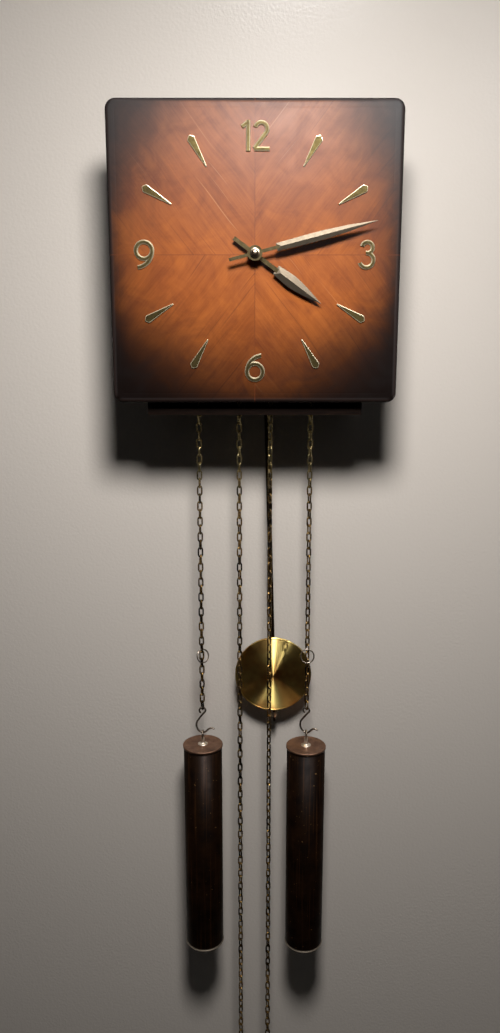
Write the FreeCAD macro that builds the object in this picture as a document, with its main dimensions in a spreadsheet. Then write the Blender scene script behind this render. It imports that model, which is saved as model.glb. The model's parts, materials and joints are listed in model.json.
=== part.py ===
"""Wall clock with a square wooden face, two chain-hung weights and a pendulum.

Millimetres, +Z up, +X to the right of someone who faces the dial, the wall in the plane Y = 0 and the
face board in front of it, towards -Y. The origin is the middle of the keyhole that the clock hangs by.
A depth is a distance from the wall, so a depth of 100 is at Y = -100.
"""
import FreeCAD, Part
import Sketcher
import math
import os
import re

from FreeCAD import Placement, Rotation, Vector

DRIVING_SIZES = (
    # alias, millimetres or degrees or a count, what it is
    ("face_size", 260, "side of the square face board"),
    ("face_thick", 12, "thickness of the face board"),
    ("face_corner", 9, "radius of its four corners"),
    ("face_round", 3.6, "round-over of its front edge"),
    ("dial_drop", 88, "dial centre below the keyhole"),
    ("case_width", 200, "outside width of the case"),
    ("case_height", 252, "outside height of the case"),
    ("case_depth", 100, "wall to the back of the face board"),
    ("hook_drop", 22, "keyhole below the top of the case"),
    ("board", 6, "thickness of the case boards"),
    ("back_board", 4, "thickness of the back panel"),
    ("hanger_thick", 1.5, "thickness of the hanger plate"),
    ("hanger_width", 44, "width of the hanger plate"),
    ("hanger_height", 30, "height of the hanger plate"),
    ("keyhole_radius", 5, "round entry of the keyhole"),
    ("keyhole_slot", 4.5, "width of the keyhole's slot"),
    ("keyhole_rise", 9.5, "middle of the round entry to the top of the slot"),
    ("dial_hole", 6, "radius of the hole for the hands' pipes"),
    ("chain_hole", 5.5, "radius of the chain holes in the case bottom"),
    ("plate_width", 136, "width of a movement plate"),
    ("plate_height", 140, "height of a movement plate"),
    ("plate_top", 56, "top of the movement plates above the dial centre"),
    ("plate_thick", 1.5, "thickness of a movement plate"),
    ("plate_corner", 6, "corner radius of a movement plate"),
    ("rear_plate_depth", 36.5, "wall to the rear plate"),
    ("plate_gap", 40, "length of the pillars between the plates"),
    ("pillar_radius", 3, "radius of a pillar"),
    ("arbor_radius", 1.5, "radius of a wheel's arbor"),
    ("pivot_radius", 0.8, "radius of an arbor's pivot"),
    ("pivot_play", 0.15, "gap round a pivot"),
    ("sprocket_x", 35.6, "chain wheel from the middle line"),
    ("sprocket_drop", 37, "chain wheels below the dial centre"),
    ("sprocket_width", 9, "width of a chain wheel"),
    ("chain_depth", 54, "wall to the plane of the chains"),
    ("chain_pitch", 8, "inside length of a link"),
    ("chain_wire", 1.5, "thickness of the link wire"),
    ("link_width", 6, "outside width of a link"),
    ("turn_links", 16, "links round a whole chain wheel"),
    ("hanging_links", 53, "links from the chain wheel down to the hook"),
    ("free_links", 107, "links from the chain wheel down to the end ring"),
    ("pivot_x", 7.2, "pendulum pivot right of the middle line"),
    ("pivot_rise", 45, "pendulum pivot above the dial centre"),
    ("pendulum_length", 475.4, "pivot to the middle of the bob"),
    ("pendulum_tilt", 1.618, "how far the pendulum hangs off plumb, degrees"),
    ("pendulum_depth", 21, "wall to the back of the pendulum rod"),
    ("rod_width", 5, "width of the pendulum rod"),
    ("rod_thick", 1.2, "thickness of the pendulum rod"),
    ("bob_radius", 41.9, "radius of the bob"),
    ("bob_rise", 4.4, "middle of the bob in front of its rim"),
    ("weight_radius", 21.1, "radius of a weight"),
    ("weight_length", 239, "length of a weight's shell"),
    ("weight_drop", 497.2, "top of the left weight below the dial centre"),
    ("right_lower", 1.6, "right weight below the left one"),
    ("weight_wall", 1.2, "wall of a weight's shell"),
    ("hour_stand", 5, "hour hand in front of the face"),
    ("minute_stand", 10.5, "minute hand in front of the face"),
    ("hour_reach", 73, "length of the hour hand"),
    ("minute_reach", 111, "length of the minute hand"),
    ("hour_angle", 125.8, "hour hand clockwise from twelve, degrees"),
    ("minute_angle", 75.7, "minute hand clockwise from twelve, degrees"),
    ("hand_thick", 1.2, "thickness of the hands' stems"),
    ("numeral_height", 25, "height of the numerals"),
    ("numeral_ring", 98.5, "dial centre to the middle of a numeral"),
    ("numeral_stroke", 4, "width of a numeral's stroke"),
    ("applique", 1.4, "thickness of numerals and markers"),
    ("marker_outer", 114, "dial centre to the outer end of a marker"),
    ("marker_inner", 85, "dial centre to the inner tip of a marker"),
    ("marker_width", 6.8, "width of a marker at its shoulders"),
    ("gong_x", 82, "gong rods left of the middle line"),
    ("gong_length", 170, "length of the longer gong rod"),
)

doc = FreeCAD.newDocument("chain_wall_clock")
sheet = doc.addObject("Spreadsheet::Sheet", "sizes")
for row, (alias, amount, meaning) in enumerate(DRIVING_SIZES, 1):
    sheet.set(f"A{row}", alias)
    sheet.set(f"B{row}", str(amount))
    sheet.set(f"C{row}", meaning)
    sheet.setAlias(f"B{row}", alias)
doc.recompute()

SUBPARTS = []


def size(alias):
    """A driving size read from the sheet."""
    return float(getattr(sheet, alias))


def bind(thing, formulas):
    """Ties properties of an object to formulas made of the sheet's aliases."""
    for path, formula in formulas.items():
        thing.setExpression(path, re.sub(r"[a-z]\w+", r"sizes.\g<0>", formula))


def subpart(thing, label):
    """Names an object as one sub-part of the clock."""
    thing.Label = label
    SUBPARTS.append(thing)
    return thing


def shaped(label, shape):
    """A sub-part whose shape is worked out below from the sheet's sizes."""
    return subpart(helper(label, shape), label)


def helper(name, shape):
    """A plain feature with a given shape."""
    feature = doc.addObject("Part::Feature", name)
    feature.Shape = shape
    return feature


# ---------------------------------------------------------------- bound primitives and bodies


def block(name, left, depth, bottom, width, thick, height):
    """A box whose back stands at a depth from the wall."""
    box = doc.addObject("Part::Box", name)
    bind(box, {"Length": width, "Width": thick, "Height": height, "Placement.Base.x": left,
               "Placement.Base.y": f"-({depth}) - ({thick})", "Placement.Base.z": bottom})
    return box


def bar(name, x, depth, z, radius, length):
    """A round bar that runs from a depth towards the front."""
    cylinder = doc.addObject("Part::Cylinder", name)
    cylinder.Placement = Placement(Vector(), Rotation(Vector(1, 0, 0), 90))
    bind(cylinder, {"Radius": radius, "Height": length, "Placement.Base.x": x,
                    "Placement.Base.y": f"-({depth})", "Placement.Base.z": z})
    return cylinder


def new_body(label, x="0", z="0"):
    """A PartDesign body that is one sub-part, with its own origin at x, z."""
    body = subpart(doc.addObject("PartDesign::Body", label), label)
    bind(body, {"Placement.Base.x": x, "Placement.Base.z": z})
    return body


def new_sketch(body, name, depth="0", role="XZ_Plane"):
    """A sketch on an origin plane of its body; one on XZ_Plane lies at a depth from the wall."""
    drawing = body.newObject("Sketcher::SketchObject", f"{body.Name}_{name}")
    plane = next(f for f in body.Origin.OriginFeatures if f.Role == role)
    drawing.AttachmentSupport = [(plane, "")]
    drawing.MapMode = "FlatFace"
    bind(drawing, {"AttachmentOffset.Base.z": depth})
    return drawing


def constrain(drawing, kind, *where_and_formula):
    """One dimension of a sketch, tied to a formula."""
    *where, formula = where_and_formula
    index = drawing.addConstraint(Sketcher.Constraint(kind, *where, 1.0))
    bind(drawing, {f"Constraints[{index}]": formula})


def rectangle(drawing, left, right, bottom, top):
    """Four lines whose sides lie at formulas of the sheet."""
    corners = [Vector(-1, -1), Vector(1, -1), Vector(1, 1), Vector(-1, 1)]
    first = drawing.GeometryCount
    for k in range(4):
        drawing.addGeometry(Part.LineSegment(corners[k], corners[(k + 1) % 4]))
    for k in range(4):
        drawing.addConstraint(Sketcher.Constraint("Coincident", first + k, 2, first + (k + 1) % 4, 1))
        direction = "Horizontal" if k % 2 == 0 else "Vertical"
        drawing.addConstraint(Sketcher.Constraint(direction, first + k))
    constrain(drawing, "DistanceX", -1, 1, first, 1, left)
    constrain(drawing, "DistanceX", -1, 1, first + 1, 1, right)
    constrain(drawing, "DistanceY", -1, 1, first, 1, bottom)
    constrain(drawing, "DistanceY", -1, 1, first + 2, 1, top)


def circle(drawing, x, z, radius):
    """A circle of a bound radius at a place worked out from the sheet."""
    index = drawing.addGeometry(Part.Circle(Vector(x, z, 0), Vector(0, 0, 1), 1))
    constrain(drawing, "Radius", index, radius)


def polygon(drawing, points):
    """A closed outline of straight lines."""
    first = drawing.GeometryCount
    count = len(points)
    for k in range(count):
        ends = (Vector(*points[k], 0), Vector(*points[(k + 1) % count], 0))
        drawing.addGeometry(Part.LineSegment(*ends))
    for k in range(count):
        drawing.addConstraint(Sketcher.Constraint("Coincident", first + k, 2, first + (k + 1) % count, 1))


def pad(body, drawing, length):
    """A pad away from the wall, or upwards from XY_Plane."""
    feature = body.newObject("PartDesign::Pad", f"{drawing.Name}_pad")
    feature.Profile = drawing
    bind(feature, {"Length": length})
    drawing.Visibility = False
    doc.recompute()
    return feature


def pocket(body, drawing, depth):
    """A pocket on the same side of its sketch as a pad; it has to take material away."""
    before = body.Shape.Volume
    feature = body.newObject("PartDesign::Pocket", f"{drawing.Name}_pocket")
    feature.Profile = drawing
    feature.Reversed = True
    bind(feature, {"Length": depth})
    doc.recompute()
    if body.Shape.Volume > before - 1:
        raise ValueError(f"{feature.Name} cuts nothing")
    return feature


def fillet(body, name, radius, chosen):
    """A fillet on the edges of the body's tip for which chosen(edge) holds."""
    tip = body.Tip
    edges = [f"Edge{k}" for k, edge in enumerate(tip.Shape.Edges, 1) if chosen(edge)]
    feature = body.newObject("PartDesign::Fillet", f"{body.Name}_{name}")
    feature.Base = (tip, edges)
    bind(feature, {"Radius": radius})
    doc.recompute()
    return feature


def runs_front_to_back(edge):
    """Whether a straight edge lies along Y."""
    box = edge.BoundBox
    return box.YLength > 0.1 and box.XLength < 0.01 and box.ZLength < 0.01


def revolution(body, drawing, axis):
    """A full turn of a profile about V_Axis (upright) or H_Axis (front to back on YZ_Plane)."""
    feature = body.newObject("PartDesign::Revolution", f"{drawing.Name}_turned")
    feature.Profile = drawing
    feature.ReferenceAxis = (drawing, [axis])
    feature.Angle = 360
    doc.recompute()
    return feature


def compound(label, things):
    """Like pieces that share one node."""
    group = doc.addObject("Part::Compound", label)
    group.Links = things
    return subpart(group, label)


# ---------------------------------------------------------------- shapes worked out from formulas

FRONT = Vector(0, -1, 0)
DIAL_Z = -size("dial_drop")
FACE_FRONT = size("case_depth") + size("face_thick")


def place(x, depth, z):
    """A point from its distance right of the middle, from the wall and above the dial centre."""
    return Vector(x, -depth, DIAL_Z + z)


def prism(points, depth, thick):
    """A flat outline in x, z about the dial centre, carried from a depth towards the front."""
    corners = [place(x, depth, z) for x, z in points]
    return Part.Face(Part.makePolygon(corners + corners[:1])).extrude(FRONT * thick)


def shaft(centre, depth, radius, length):
    """A round bar about the point x, z, from a depth towards the front."""
    return Part.makeCylinder(radius, length, place(centre[0], depth, centre[1]), FRONT)


def strip(start, end, width, depth, thick):
    """A flat bar from one point to another."""
    dx, dz = end[0] - start[0], end[1] - start[1]
    reach = math.hypot(dx, dz)
    side = (-dz / reach * width / 2, dx / reach * width / 2)
    outline = [(start[0] + side[0], start[1] + side[1]), (start[0] - side[0], start[1] - side[1]),
               (end[0] - side[0], end[1] - side[1]), (end[0] + side[0], end[1] + side[1])]
    return prism(outline, depth, thick)


def solid_of(faces):
    """A solid from the flat faces that close it."""
    return Part.Solid(Part.Shell([Part.Face(Part.makePolygon(list(f) + [f[0]])) for f in faces]))


def bent_wire(path, section, closed):
    """A wire of flat facets along straight runs in the XZ plane, mitred where they meet.

    path lists x, z; section lists how far each of its corners stands out to the right of the way
    along the path, and how far towards the front.
    """
    count = len(path)
    rings = []
    for k, (x, z) in enumerate(path):
        before = path[k - 1] if closed or k else None
        after = path[(k + 1) % count] if closed or k < count - 1 else None
        turns = [math.atan2(z - before[1], x - before[0])] if before else []
        turns += [math.atan2(after[1] - z, after[0] - x)] if after else []
        half = math.remainder(turns[-1] - turns[0], 2 * math.pi) / 2
        right = turns[0] + half - math.pi / 2
        stretch = 1 / math.cos(half)
        toward = (stretch * math.cos(right), stretch * math.sin(right))
        rings.append([Vector(x + out * toward[0], -front, z + out * toward[1])
                      for out, front in section])
    faces = []
    sides = len(section)
    for k in range(count if closed else count - 1):
        here, there = rings[k], rings[(k + 1) % count]
        for s in range(sides):
            t = (s + 1) % sides
            faces.append((here[s], here[t], there[t], there[s]))
    if not closed:
        faces += [tuple(rings[0]), tuple(rings[-1])]
    solid = solid_of(faces)
    if solid.Volume < 0:
        solid.reverse()
    return solid


def hexagon(radius):
    """The section of a round wire with six sides."""
    return [(radius * math.cos(a), radius * math.sin(a)) for a in (k * math.pi / 3 for k in range(6))]


# ---------------------------------------------------------------- the case

def case_board(label, left, bottom, width, height):
    """A case board from the wall to the face."""
    subpart(block(label, left, "0", bottom, width, "case_depth", height), label)


INNER_HALF = "case_width/2 - board"
CASE_FOOT = "hook_drop - case_height"

case_board("case_side_left", "-case_width/2", CASE_FOOT, "board", "case_height")
case_board("case_side_right", INNER_HALF, CASE_FOOT, "board", "case_height")
case_board("case_top", f"-({INNER_HALF})", "hook_drop - board", "case_width - 2*board", "board")

STRAND_OFFSET = size("chain_pitch") / 2 / math.tan(math.pi / size("turn_links"))
OUTER_STRAND = size("sprocket_x") + STRAND_OFFSET
INNER_STRAND = size("sprocket_x") - STRAND_OFFSET

case_bottom = new_body("case_bottom")
bottom_outline = new_sketch(case_bottom, "outline", CASE_FOOT, "XY_Plane")
rectangle(bottom_outline, f"-({INNER_HALF})", INNER_HALF, "-case_depth", "0")
rectangle(bottom_outline, "pivot_x - 19", "pivot_x + 19", "-pendulum_depth - 8", "-pendulum_depth + 7")
for strand_x in (-OUTER_STRAND, -INNER_STRAND, INNER_STRAND, OUTER_STRAND):
    circle(bottom_outline, strand_x, -size("chain_depth"), "chain_hole")
pad(case_bottom, bottom_outline, "board")

SCREW_SPREAD = 16
HANGER_TOP = "keyhole_rise + 6"

back_panel = new_body("back_panel")
panel_outline = new_sketch(back_panel, "outline")
rectangle(panel_outline, f"-({INNER_HALF})", INNER_HALF, f"{CASE_FOOT} + board", "hook_drop - board")
HANGER_HALF = "keyhole_radius + 2"
rectangle(panel_outline, f"-({HANGER_HALF})", HANGER_HALF, f"-({HANGER_HALF})", "keyhole_rise + 3")
for side in (-1, 1):
    circle(panel_outline, side * SCREW_SPREAD, 0, "1.7")
pad(back_panel, panel_outline, "back_board")
plate_recess = new_sketch(back_panel, "recess")
rectangle(plate_recess, "-hanger_width/2", "hanger_width/2", f"{HANGER_TOP} - hanger_height", HANGER_TOP)
pocket(back_panel, plate_recess, "hanger_thick")

hanger_plate = new_body("hanger_plate")
hanger_outline = new_sketch(hanger_plate, "outline")
rectangle(hanger_outline, "-hanger_width/2", "hanger_width/2", f"{HANGER_TOP} - hanger_height", HANGER_TOP)
circle(hanger_outline, 0, 0, "keyhole_radius")
for side in (-1, 1):
    circle(hanger_outline, side * SCREW_SPREAD, 0, "1.7")
pad(hanger_plate, hanger_outline, "hanger_thick")
keyhole_slot = new_sketch(hanger_plate, "slot")
rectangle(keyhole_slot, "-keyhole_slot/2", "keyhole_slot/2", "0", "keyhole_rise")
pocket(hanger_plate, keyhole_slot, "hanger_thick")

SCREW_LENGTH = size("back_board")


def hanger_screw(x):
    """A pan-head screw from inside the case, through the panel and into the hanger plate."""
    shank = Part.makeCylinder(1.5, SCREW_LENGTH, Vector(x, 0, 0), FRONT)
    head = Part.makeCylinder(3, 1.8, Vector(x, -SCREW_LENGTH, 0), FRONT)
    slot = Part.makeBox(7, 1, 0.8, Vector(x - 3.5, -SCREW_LENGTH - 1.9, -0.4))
    return shank.fuse(head).cut(slot)


shaped("hanger_screws", Part.makeCompound([hanger_screw(side * SCREW_SPREAD) for side in (-1, 1)]))

# ---------------------------------------------------------------- the face, its numerals and markers

face_board = new_body("face_board", "0", "-dial_drop")
face_outline = new_sketch(face_board, "outline", "case_depth")
rectangle(face_outline, "-face_size/2", "face_size/2", "-face_size/2", "face_size/2")
circle(face_outline, 0, 0, "dial_hole")
pad(face_board, face_outline, "face_thick")
fillet(face_board, "corners", "face_corner", runs_front_to_back)
fillet(face_board, "front_round", "face_round",
       lambda edge: edge.BoundBox.YMax < -FACE_FRONT + 0.01 and edge.BoundBox.Center.Length > 20
       and abs(edge.BoundBox.Center.x) + abs(edge.BoundBox.Center.z - DIAL_Z) > size("dial_hole") * 2)


def arc(centre, radius, first, last):
    """An arc of a numeral's middle line, from one angle to another in degrees; it may run backwards."""
    points = [place(centre[0] + radius * math.cos(a), FACE_FRONT, centre[1] + radius * math.sin(a))
              for a in (math.radians(first), math.radians((first + last) / 2), math.radians(last))]
    return Part.Arc(*points).toShape()


def line(start, end):
    """A straight stretch of a numeral's middle line."""
    return Part.makeLine(place(start[0], FACE_FRONT, start[1]), place(end[0], FACE_FRONT, end[1]))


def rounded_side(edge):
    """One side of a raised stroke's section, from the face up to its flat front, out and up."""
    high = size("applique")
    inward = -1 if edge > 0 else 1
    return [(edge, 0), (edge, high - 0.95), (edge + inward * 0.2, high - 0.45),
            (edge + inward * 0.6, high - 0.12), (edge + inward * 1.2, high)]


def stroke(*edges):
    """A raised stroke with rounded sides along a middle line."""
    path = Part.Wire(list(edges))
    start = edges[0].valueAt(edges[0].FirstParameter)
    along = edges[0].tangentAt(edges[0].FirstParameter)
    across = along.cross(FRONT)
    half = size("numeral_stroke") / 2
    left, right = rounded_side(-half), rounded_side(half)
    corners = [start + across * out + FRONT * up for out, up in left + right[::-1]]
    return path.makePipeShell([Part.makePolygon(corners + corners[:1])], True, False, 1)


def along_clockwise(centre, radius, angle, reach):
    """Both ends of a line that leaves an arc, followed clockwise, at an angle in degrees."""
    a = math.radians(angle)
    start = (centre[0] + radius * math.cos(a), centre[1] + radius * math.sin(a))
    return start, (start[0] + reach * math.sin(a), start[1] - reach * math.cos(a))


def six(x, z, turn):
    """A ring bowl with a tail that sweeps up from its left; half a turn makes it a nine."""
    bowl_radius = 7.2
    bowl_z = -3.7
    tail_radius = 14.6
    half = size("numeral_stroke") / 2
    section = [(bowl_radius + out, up) for out, up in rounded_side(-half) + rounded_side(half)[::-1]]
    corners = [place(out, FACE_FRONT + up, bowl_z) for out, up in section]
    ring_section = Part.Face(Part.makePolygon(corners + corners[:1]))
    bowl = ring_section.revolve(place(0, FACE_FRONT, bowl_z), FRONT, 360)
    tail = stroke(arc((tail_radius - bowl_radius, bowl_z), tail_radius, 180, 96))
    digit = bowl.fuse(tail)
    digit.rotate(place(0, FACE_FRONT, 0), FRONT, turn)
    digit.translate(Vector(x, 0, z))
    return digit


def three(x, z):
    """Two open bows, the lower one wider."""
    upper = stroke(arc((x + 0.2, z + 6.1), 4.7, 165, -92))
    lower = stroke(arc((x - 0.3, z - 4.6), 6.2, 96, -160))
    return upper.fuse(lower)


def one(x, z):
    """An upright stem with a short flag."""
    half_height = size("numeral_height") / 2
    stem = stroke(line((x, z - half_height), (x, z + half_height)))
    flag = stroke(line((x - 5.4, z + 7.4), (x + 0.6, z + 11.4)))
    return stem.fuse(flag)


def two(x, z):
    """A bow that runs into a straight slope, on a foot."""
    bow = ((x, z + 5.6), 5.2)
    slope_start, slope_end = along_clockwise(*bow, -38, 16.2)
    slope = stroke(arc(*bow, 165, -38), line(slope_start, slope_end))
    foot = stroke(line((x - 6.2, z - 10.6), (x + 7.2, z - 10.6)))
    return slope.fuse(foot)


RING = size("numeral_ring")
shaped("numerals", Part.makeCompound([one(-5.9, RING), two(5.4, RING), three(RING + 1, 0), six(0, -RING, 0),
                                      six(-RING, 0, 180)]))


def inset(outline, distance):
    """A convex outline, anticlockwise in x and z, with every side moved inwards by a distance."""
    moved = []
    for (x0, z0), (x1, z1) in zip(outline, outline[1:] + outline[:1]):
        reach = math.hypot(x1 - x0, z1 - z0)
        inward = (-(z1 - z0) / reach * distance, (x1 - x0) / reach * distance)
        moved.append(((x0 + inward[0], z0 + inward[1]), (x1 - x0, z1 - z0)))
    corners = []
    for (start, way), (next_start, next_way) in zip(moved[-1:] + moved[:-1], moved):
        turn = way[0] * next_way[1] - way[1] * next_way[0]
        gap = (next_start[0] - start[0], next_start[1] - start[1])
        along = (gap[0] * next_way[1] - gap[1] * next_way[0]) / turn
        corners.append((start[0] + along * way[0], start[1] + along * way[1]))
    return corners


BEVEL_WIDE, BEVEL_DEEP = 0.42, 0.13


def marker(hour):
    """A bar with a blunt outer end that tapers to its inner tip, with bevelled edges, turned to its hour."""
    half = size("marker_width") / 2
    outer = size("marker_outer")
    inner = size("marker_inner")
    right = [(0.5, inner), (half, outer - 3.1), (half - 0.45, outer - 2.1), (1, outer - 0.35)]
    outline = right + [(0, outer)] + [(-x, z) for x, z in reversed(right)]
    high = size("applique")
    levels = [(outline, 0), (outline, high - BEVEL_DEEP), (inset(outline, BEVEL_WIDE), high)]
    rings = [[place(x, FACE_FRONT + forward, z) for x, z in points] for points, forward in levels]
    faces = [tuple(rings[0]), tuple(rings[-1])]
    count = len(outline)
    for near, far in zip(rings, rings[1:]):
        faces += [(near[k], near[(k + 1) % count], far[(k + 1) % count], far[k]) for k in range(count)]
    bar_shape = solid_of(faces)
    if bar_shape.Volume < 0:
        bar_shape.reverse()
    bar_shape.rotate(place(0, 0, 0), Vector(0, 1, 0), hour * 30)
    return bar_shape


shaped("hour_markers", Part.makeCompound([marker(hour) for hour in range(12) if hour % 3]))

# ---------------------------------------------------------------- where the arbors stand


def reached_from(a, from_a, b, from_b, side):
    """The point at given distances from a and from b, left (1) or right (-1) of the way from a to b."""
    span = math.hypot(b[0] - a[0], b[1] - a[1])
    along = (from_a ** 2 - from_b ** 2 + span ** 2) / (2 * span)
    off = side * math.sqrt(from_a ** 2 - along ** 2)
    ux, uz = (b[0] - a[0]) / span, (b[1] - a[1]) / span
    return (a[0] + along * ux - off * uz, a[1] + along * uz + off * ux)


GREAT_TEETH, SECOND_TEETH, CENTRE_TEETH, THIRD_TEETH, ESCAPE_TEETH = 60, 48, 60, 60, 36
LOW_LEAVES, HIGH_LEAVES = 8, 7
GREAT_MODULE, SECOND_MODULE, CENTRE_MODULE = 1.0, 0.95, 0.65
THIRD_MODULE, PIN_MODULE, MOTION_MODULE = 0.6, 0.7, 0.8


def apart(module, teeth, leaves):
    """Distance between the arbors of a wheel and a pinion in mesh."""
    return module * (teeth + leaves) / 2


CENTRE = (0, 0)
GREAT_TIME = (size("sprocket_x"), -size("sprocket_drop"))
GREAT_STRIKE = (-size("sprocket_x"), -size("sprocket_drop"))
SECOND = reached_from(GREAT_TIME, apart(GREAT_MODULE, GREAT_TEETH, LOW_LEAVES),
                      CENTRE, apart(SECOND_MODULE, SECOND_TEETH, LOW_LEAVES), -1)
PIN_ARBOR = (-SECOND[0], SECOND[1])
PENDULUM_PIVOT = (size("pivot_x"), size("pivot_rise"))
ESCAPE_RADIUS = 14
ESCAPE = (PENDULUM_PIVOT[0], PENDULUM_PIVOT[1] - ESCAPE_RADIUS * math.sqrt(2))
THIRD = reached_from(CENTRE, apart(CENTRE_MODULE, CENTRE_TEETH, HIGH_LEAVES),
                     ESCAPE, apart(THIRD_MODULE, THIRD_TEETH, HIGH_LEAVES), 1)
PIN_TO_FLY = apart(PIN_MODULE, CENTRE_TEETH, HIGH_LEAVES)
FLY_BEARING = math.radians(150)
FLY = (PIN_ARBOR[0] + PIN_TO_FLY * math.cos(FLY_BEARING), PIN_ARBOR[1] + PIN_TO_FLY * math.sin(FLY_BEARING))
HAMMER = (-52, 30)
MINUTE_STUD = (0, -apart(MOTION_MODULE, 30, 10))

# depths of the planes between and before the movement plates
REAR_PLATE = size("rear_plate_depth")
PLATE = size("plate_thick")
BACK = REAR_PLATE + PLATE
INSIDE_FRONT = BACK + size("plate_gap")
FRONT_PLATE = INSIDE_FRONT + PLATE
ESCAPE_PLANE, THIRD_PLANE, CENTRE_PLANE, GREAT_PLANE, SECOND_PLANE, PIN_PLANE = 47, 40, 44, 61.5, 67, 71
CANNON_PLANE, MINUTE_PLANE, HOUR_PLANE = 81.5, 82, 85.2
WHEEL_THICK = 1.5


def pivot_hole():
    """Radius of the hole that an arbor's pivot turns in."""
    return "pivot_radius + pivot_play"


def movement_plate(label, depth, holes):
    """A brass plate with rounded corners, holes listed as (point, radius formula)."""
    plate = new_body(label, "0", "-dial_drop")
    outline = new_sketch(plate, "outline", depth)
    rectangle(outline, "-plate_width/2", "plate_width/2", "plate_top - plate_height", "plate_top")
    for centre, radius in holes:
        circle(outline, centre[0], centre[1], radius)
    pad(plate, outline, "plate_thick")
    corner_test = size("plate_width") / 2 - 1
    fillet(plate, "corners", "plate_corner",
           lambda edge: runs_front_to_back(edge) and abs(edge.BoundBox.Center.x) > corner_test)
    return plate


SMALL_ARBORS = (SECOND, THIRD, ESCAPE, PIN_ARBOR, FLY, HAMMER)
GREAT_PIVOT = 1.2
shared_holes = [(arbor, pivot_hole()) for arbor in SMALL_ARBORS]
shared_holes += [(arbor, f"{GREAT_PIVOT} + pivot_play") for arbor in (GREAT_TIME, GREAT_STRIKE)]
movement_plate("rear_plate", "rear_plate_depth",
               shared_holes + [(CENTRE, pivot_hole()), (PENDULUM_PIVOT, "arbor_radius + pivot_play")])
movement_plate("front_plate", "rear_plate_depth + plate_thick + plate_gap",
               shared_holes + [(CENTRE, "arbor_radius + pivot_play"), (PENDULUM_PIVOT, pivot_hole()),
                               (MINUTE_STUD, "arbor_radius")])

PILLAR_CORNERS = ((-58, 40), (58, 40), (-44, -74), (44, -74))


def corner_bars(label, depth, radius, length):
    """A round bar at each corner of the movement."""
    bars = [bar(f"{label}_{k}", f"{x}", depth, f"{z} - dial_drop", radius, length)
            for k, (x, z) in enumerate(PILLAR_CORNERS, 1)]
    return compound(label, bars)


corner_bars("movement_pillars", "rear_plate_depth + plate_thick", "pillar_radius", "plate_gap")
corner_bars("movement_spacers", "back_board", "pillar_radius + 1.5", "rear_plate_depth - back_board")


def pillar_nut(x, z):
    """A hexagon nut with a domed stud end."""
    corners = [(x + 4 * math.cos(a), z + 4 * math.sin(a)) for a in (k * math.pi / 3 for k in range(6))]
    stud_end = Part.makeCone(1.6, 1, 1, place(x, FRONT_PLATE + 2.5, z), FRONT)
    return prism(corners, FRONT_PLATE, 2.5).fuse(stud_end)


shaped("pillar_nuts", Part.makeCompound([pillar_nut(x, z) for x, z in PILLAR_CORNERS]))

# ---------------------------------------------------------------- wheels and pinions

def toothed(centre, teeth, module, phase, depth, thick):
    """A toothed disc; one tooth points at an angle of phase degrees, with play for free running."""
    tip = module * (teeth / 2 + 0.75)
    root = module * (teeth / 2 - 1.25)
    step = math.pi / teeth
    outline = []
    for k in range(2 * teeth):
        angle = math.radians(phase) + k * step
        radius = root if k % 2 else tip
        outline.append((centre[0] + radius * math.cos(angle), centre[1] + radius * math.sin(angle)))
    return prism(outline, depth, thick)


def bearing(a, b):
    """Angle in degrees of the way from a to b."""
    return math.degrees(math.atan2(b[1] - a[1], b[0] - a[0]))


def meshed_phase(a, teeth_a, phase_a, b, teeth_b):
    """Phase of the teeth about b that mesh with those about a."""
    way = bearing(a, b)
    offset_a = ((way - phase_a) * teeth_a / 360) % 1
    return way + 180 - (0.5 - offset_a) * 360 / teeth_b


def crossed_out(wheel, centre, rim, hub, depth, thick, spokes=4):
    """The wheel with the windows between its spokes cut away."""
    window = shaft(centre, depth - 1, rim, thick + 2).cut(shaft(centre, depth - 1, hub, thick + 2))
    for k in range(spokes // 2):
        angle = k * math.pi * 2 / spokes + math.pi / 4
        end = (centre[0] + rim * 1.2 * math.cos(angle), centre[1] + rim * 1.2 * math.sin(angle))
        other = (2 * centre[0] - end[0], 2 * centre[1] - end[1])
        window = window.cut(strip(end, other, hub * 0.7, depth - 2, thick + 4))
    return wheel.cut(window)


def arbor(centre, radius=None, pivot=None):
    """A bar between the plates with a thinner pivot through each of them."""
    radius = radius or size("arbor_radius")
    pivot = pivot or size("pivot_radius")
    shoulder = 0.3
    middle = shaft(centre, BACK + shoulder, radius, size("plate_gap") - 2 * shoulder)
    return middle.fuse(shaft(centre, REAR_PLATE, pivot, FRONT_PLATE - REAR_PLATE))


def joined(*shapes):
    """Shapes fused into one clean solid."""
    return shapes[0].multiFuse(list(shapes[1:])).removeSplitter()


great_time_phase = 0
second_pinion_phase = meshed_phase(GREAT_TIME, GREAT_TEETH, great_time_phase, SECOND, LOW_LEAVES)
centre_pinion_phase = meshed_phase(SECOND, SECOND_TEETH, 0, CENTRE, LOW_LEAVES)
third_pinion_phase = meshed_phase(CENTRE, CENTRE_TEETH, 0, THIRD, HIGH_LEAVES)
escape_pinion_phase = meshed_phase(THIRD, THIRD_TEETH, 0, ESCAPE, HIGH_LEAVES)
pin_pinion_phase = meshed_phase(GREAT_STRIKE, GREAT_TEETH, 0, PIN_ARBOR, LOW_LEAVES)
fly_pinion_phase = meshed_phase(PIN_ARBOR, CENTRE_TEETH, 0, FLY, HIGH_LEAVES)
minute_wheel_phase = meshed_phase(CENTRE, 10, 0, MINUTE_STUD, 30)
hour_wheel_phase = meshed_phase(MINUTE_STUD, 8, 0, CENTRE, 32)

SPROCKET_ARBOR = 2.5
RATCHET_RADIUS = 12


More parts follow.
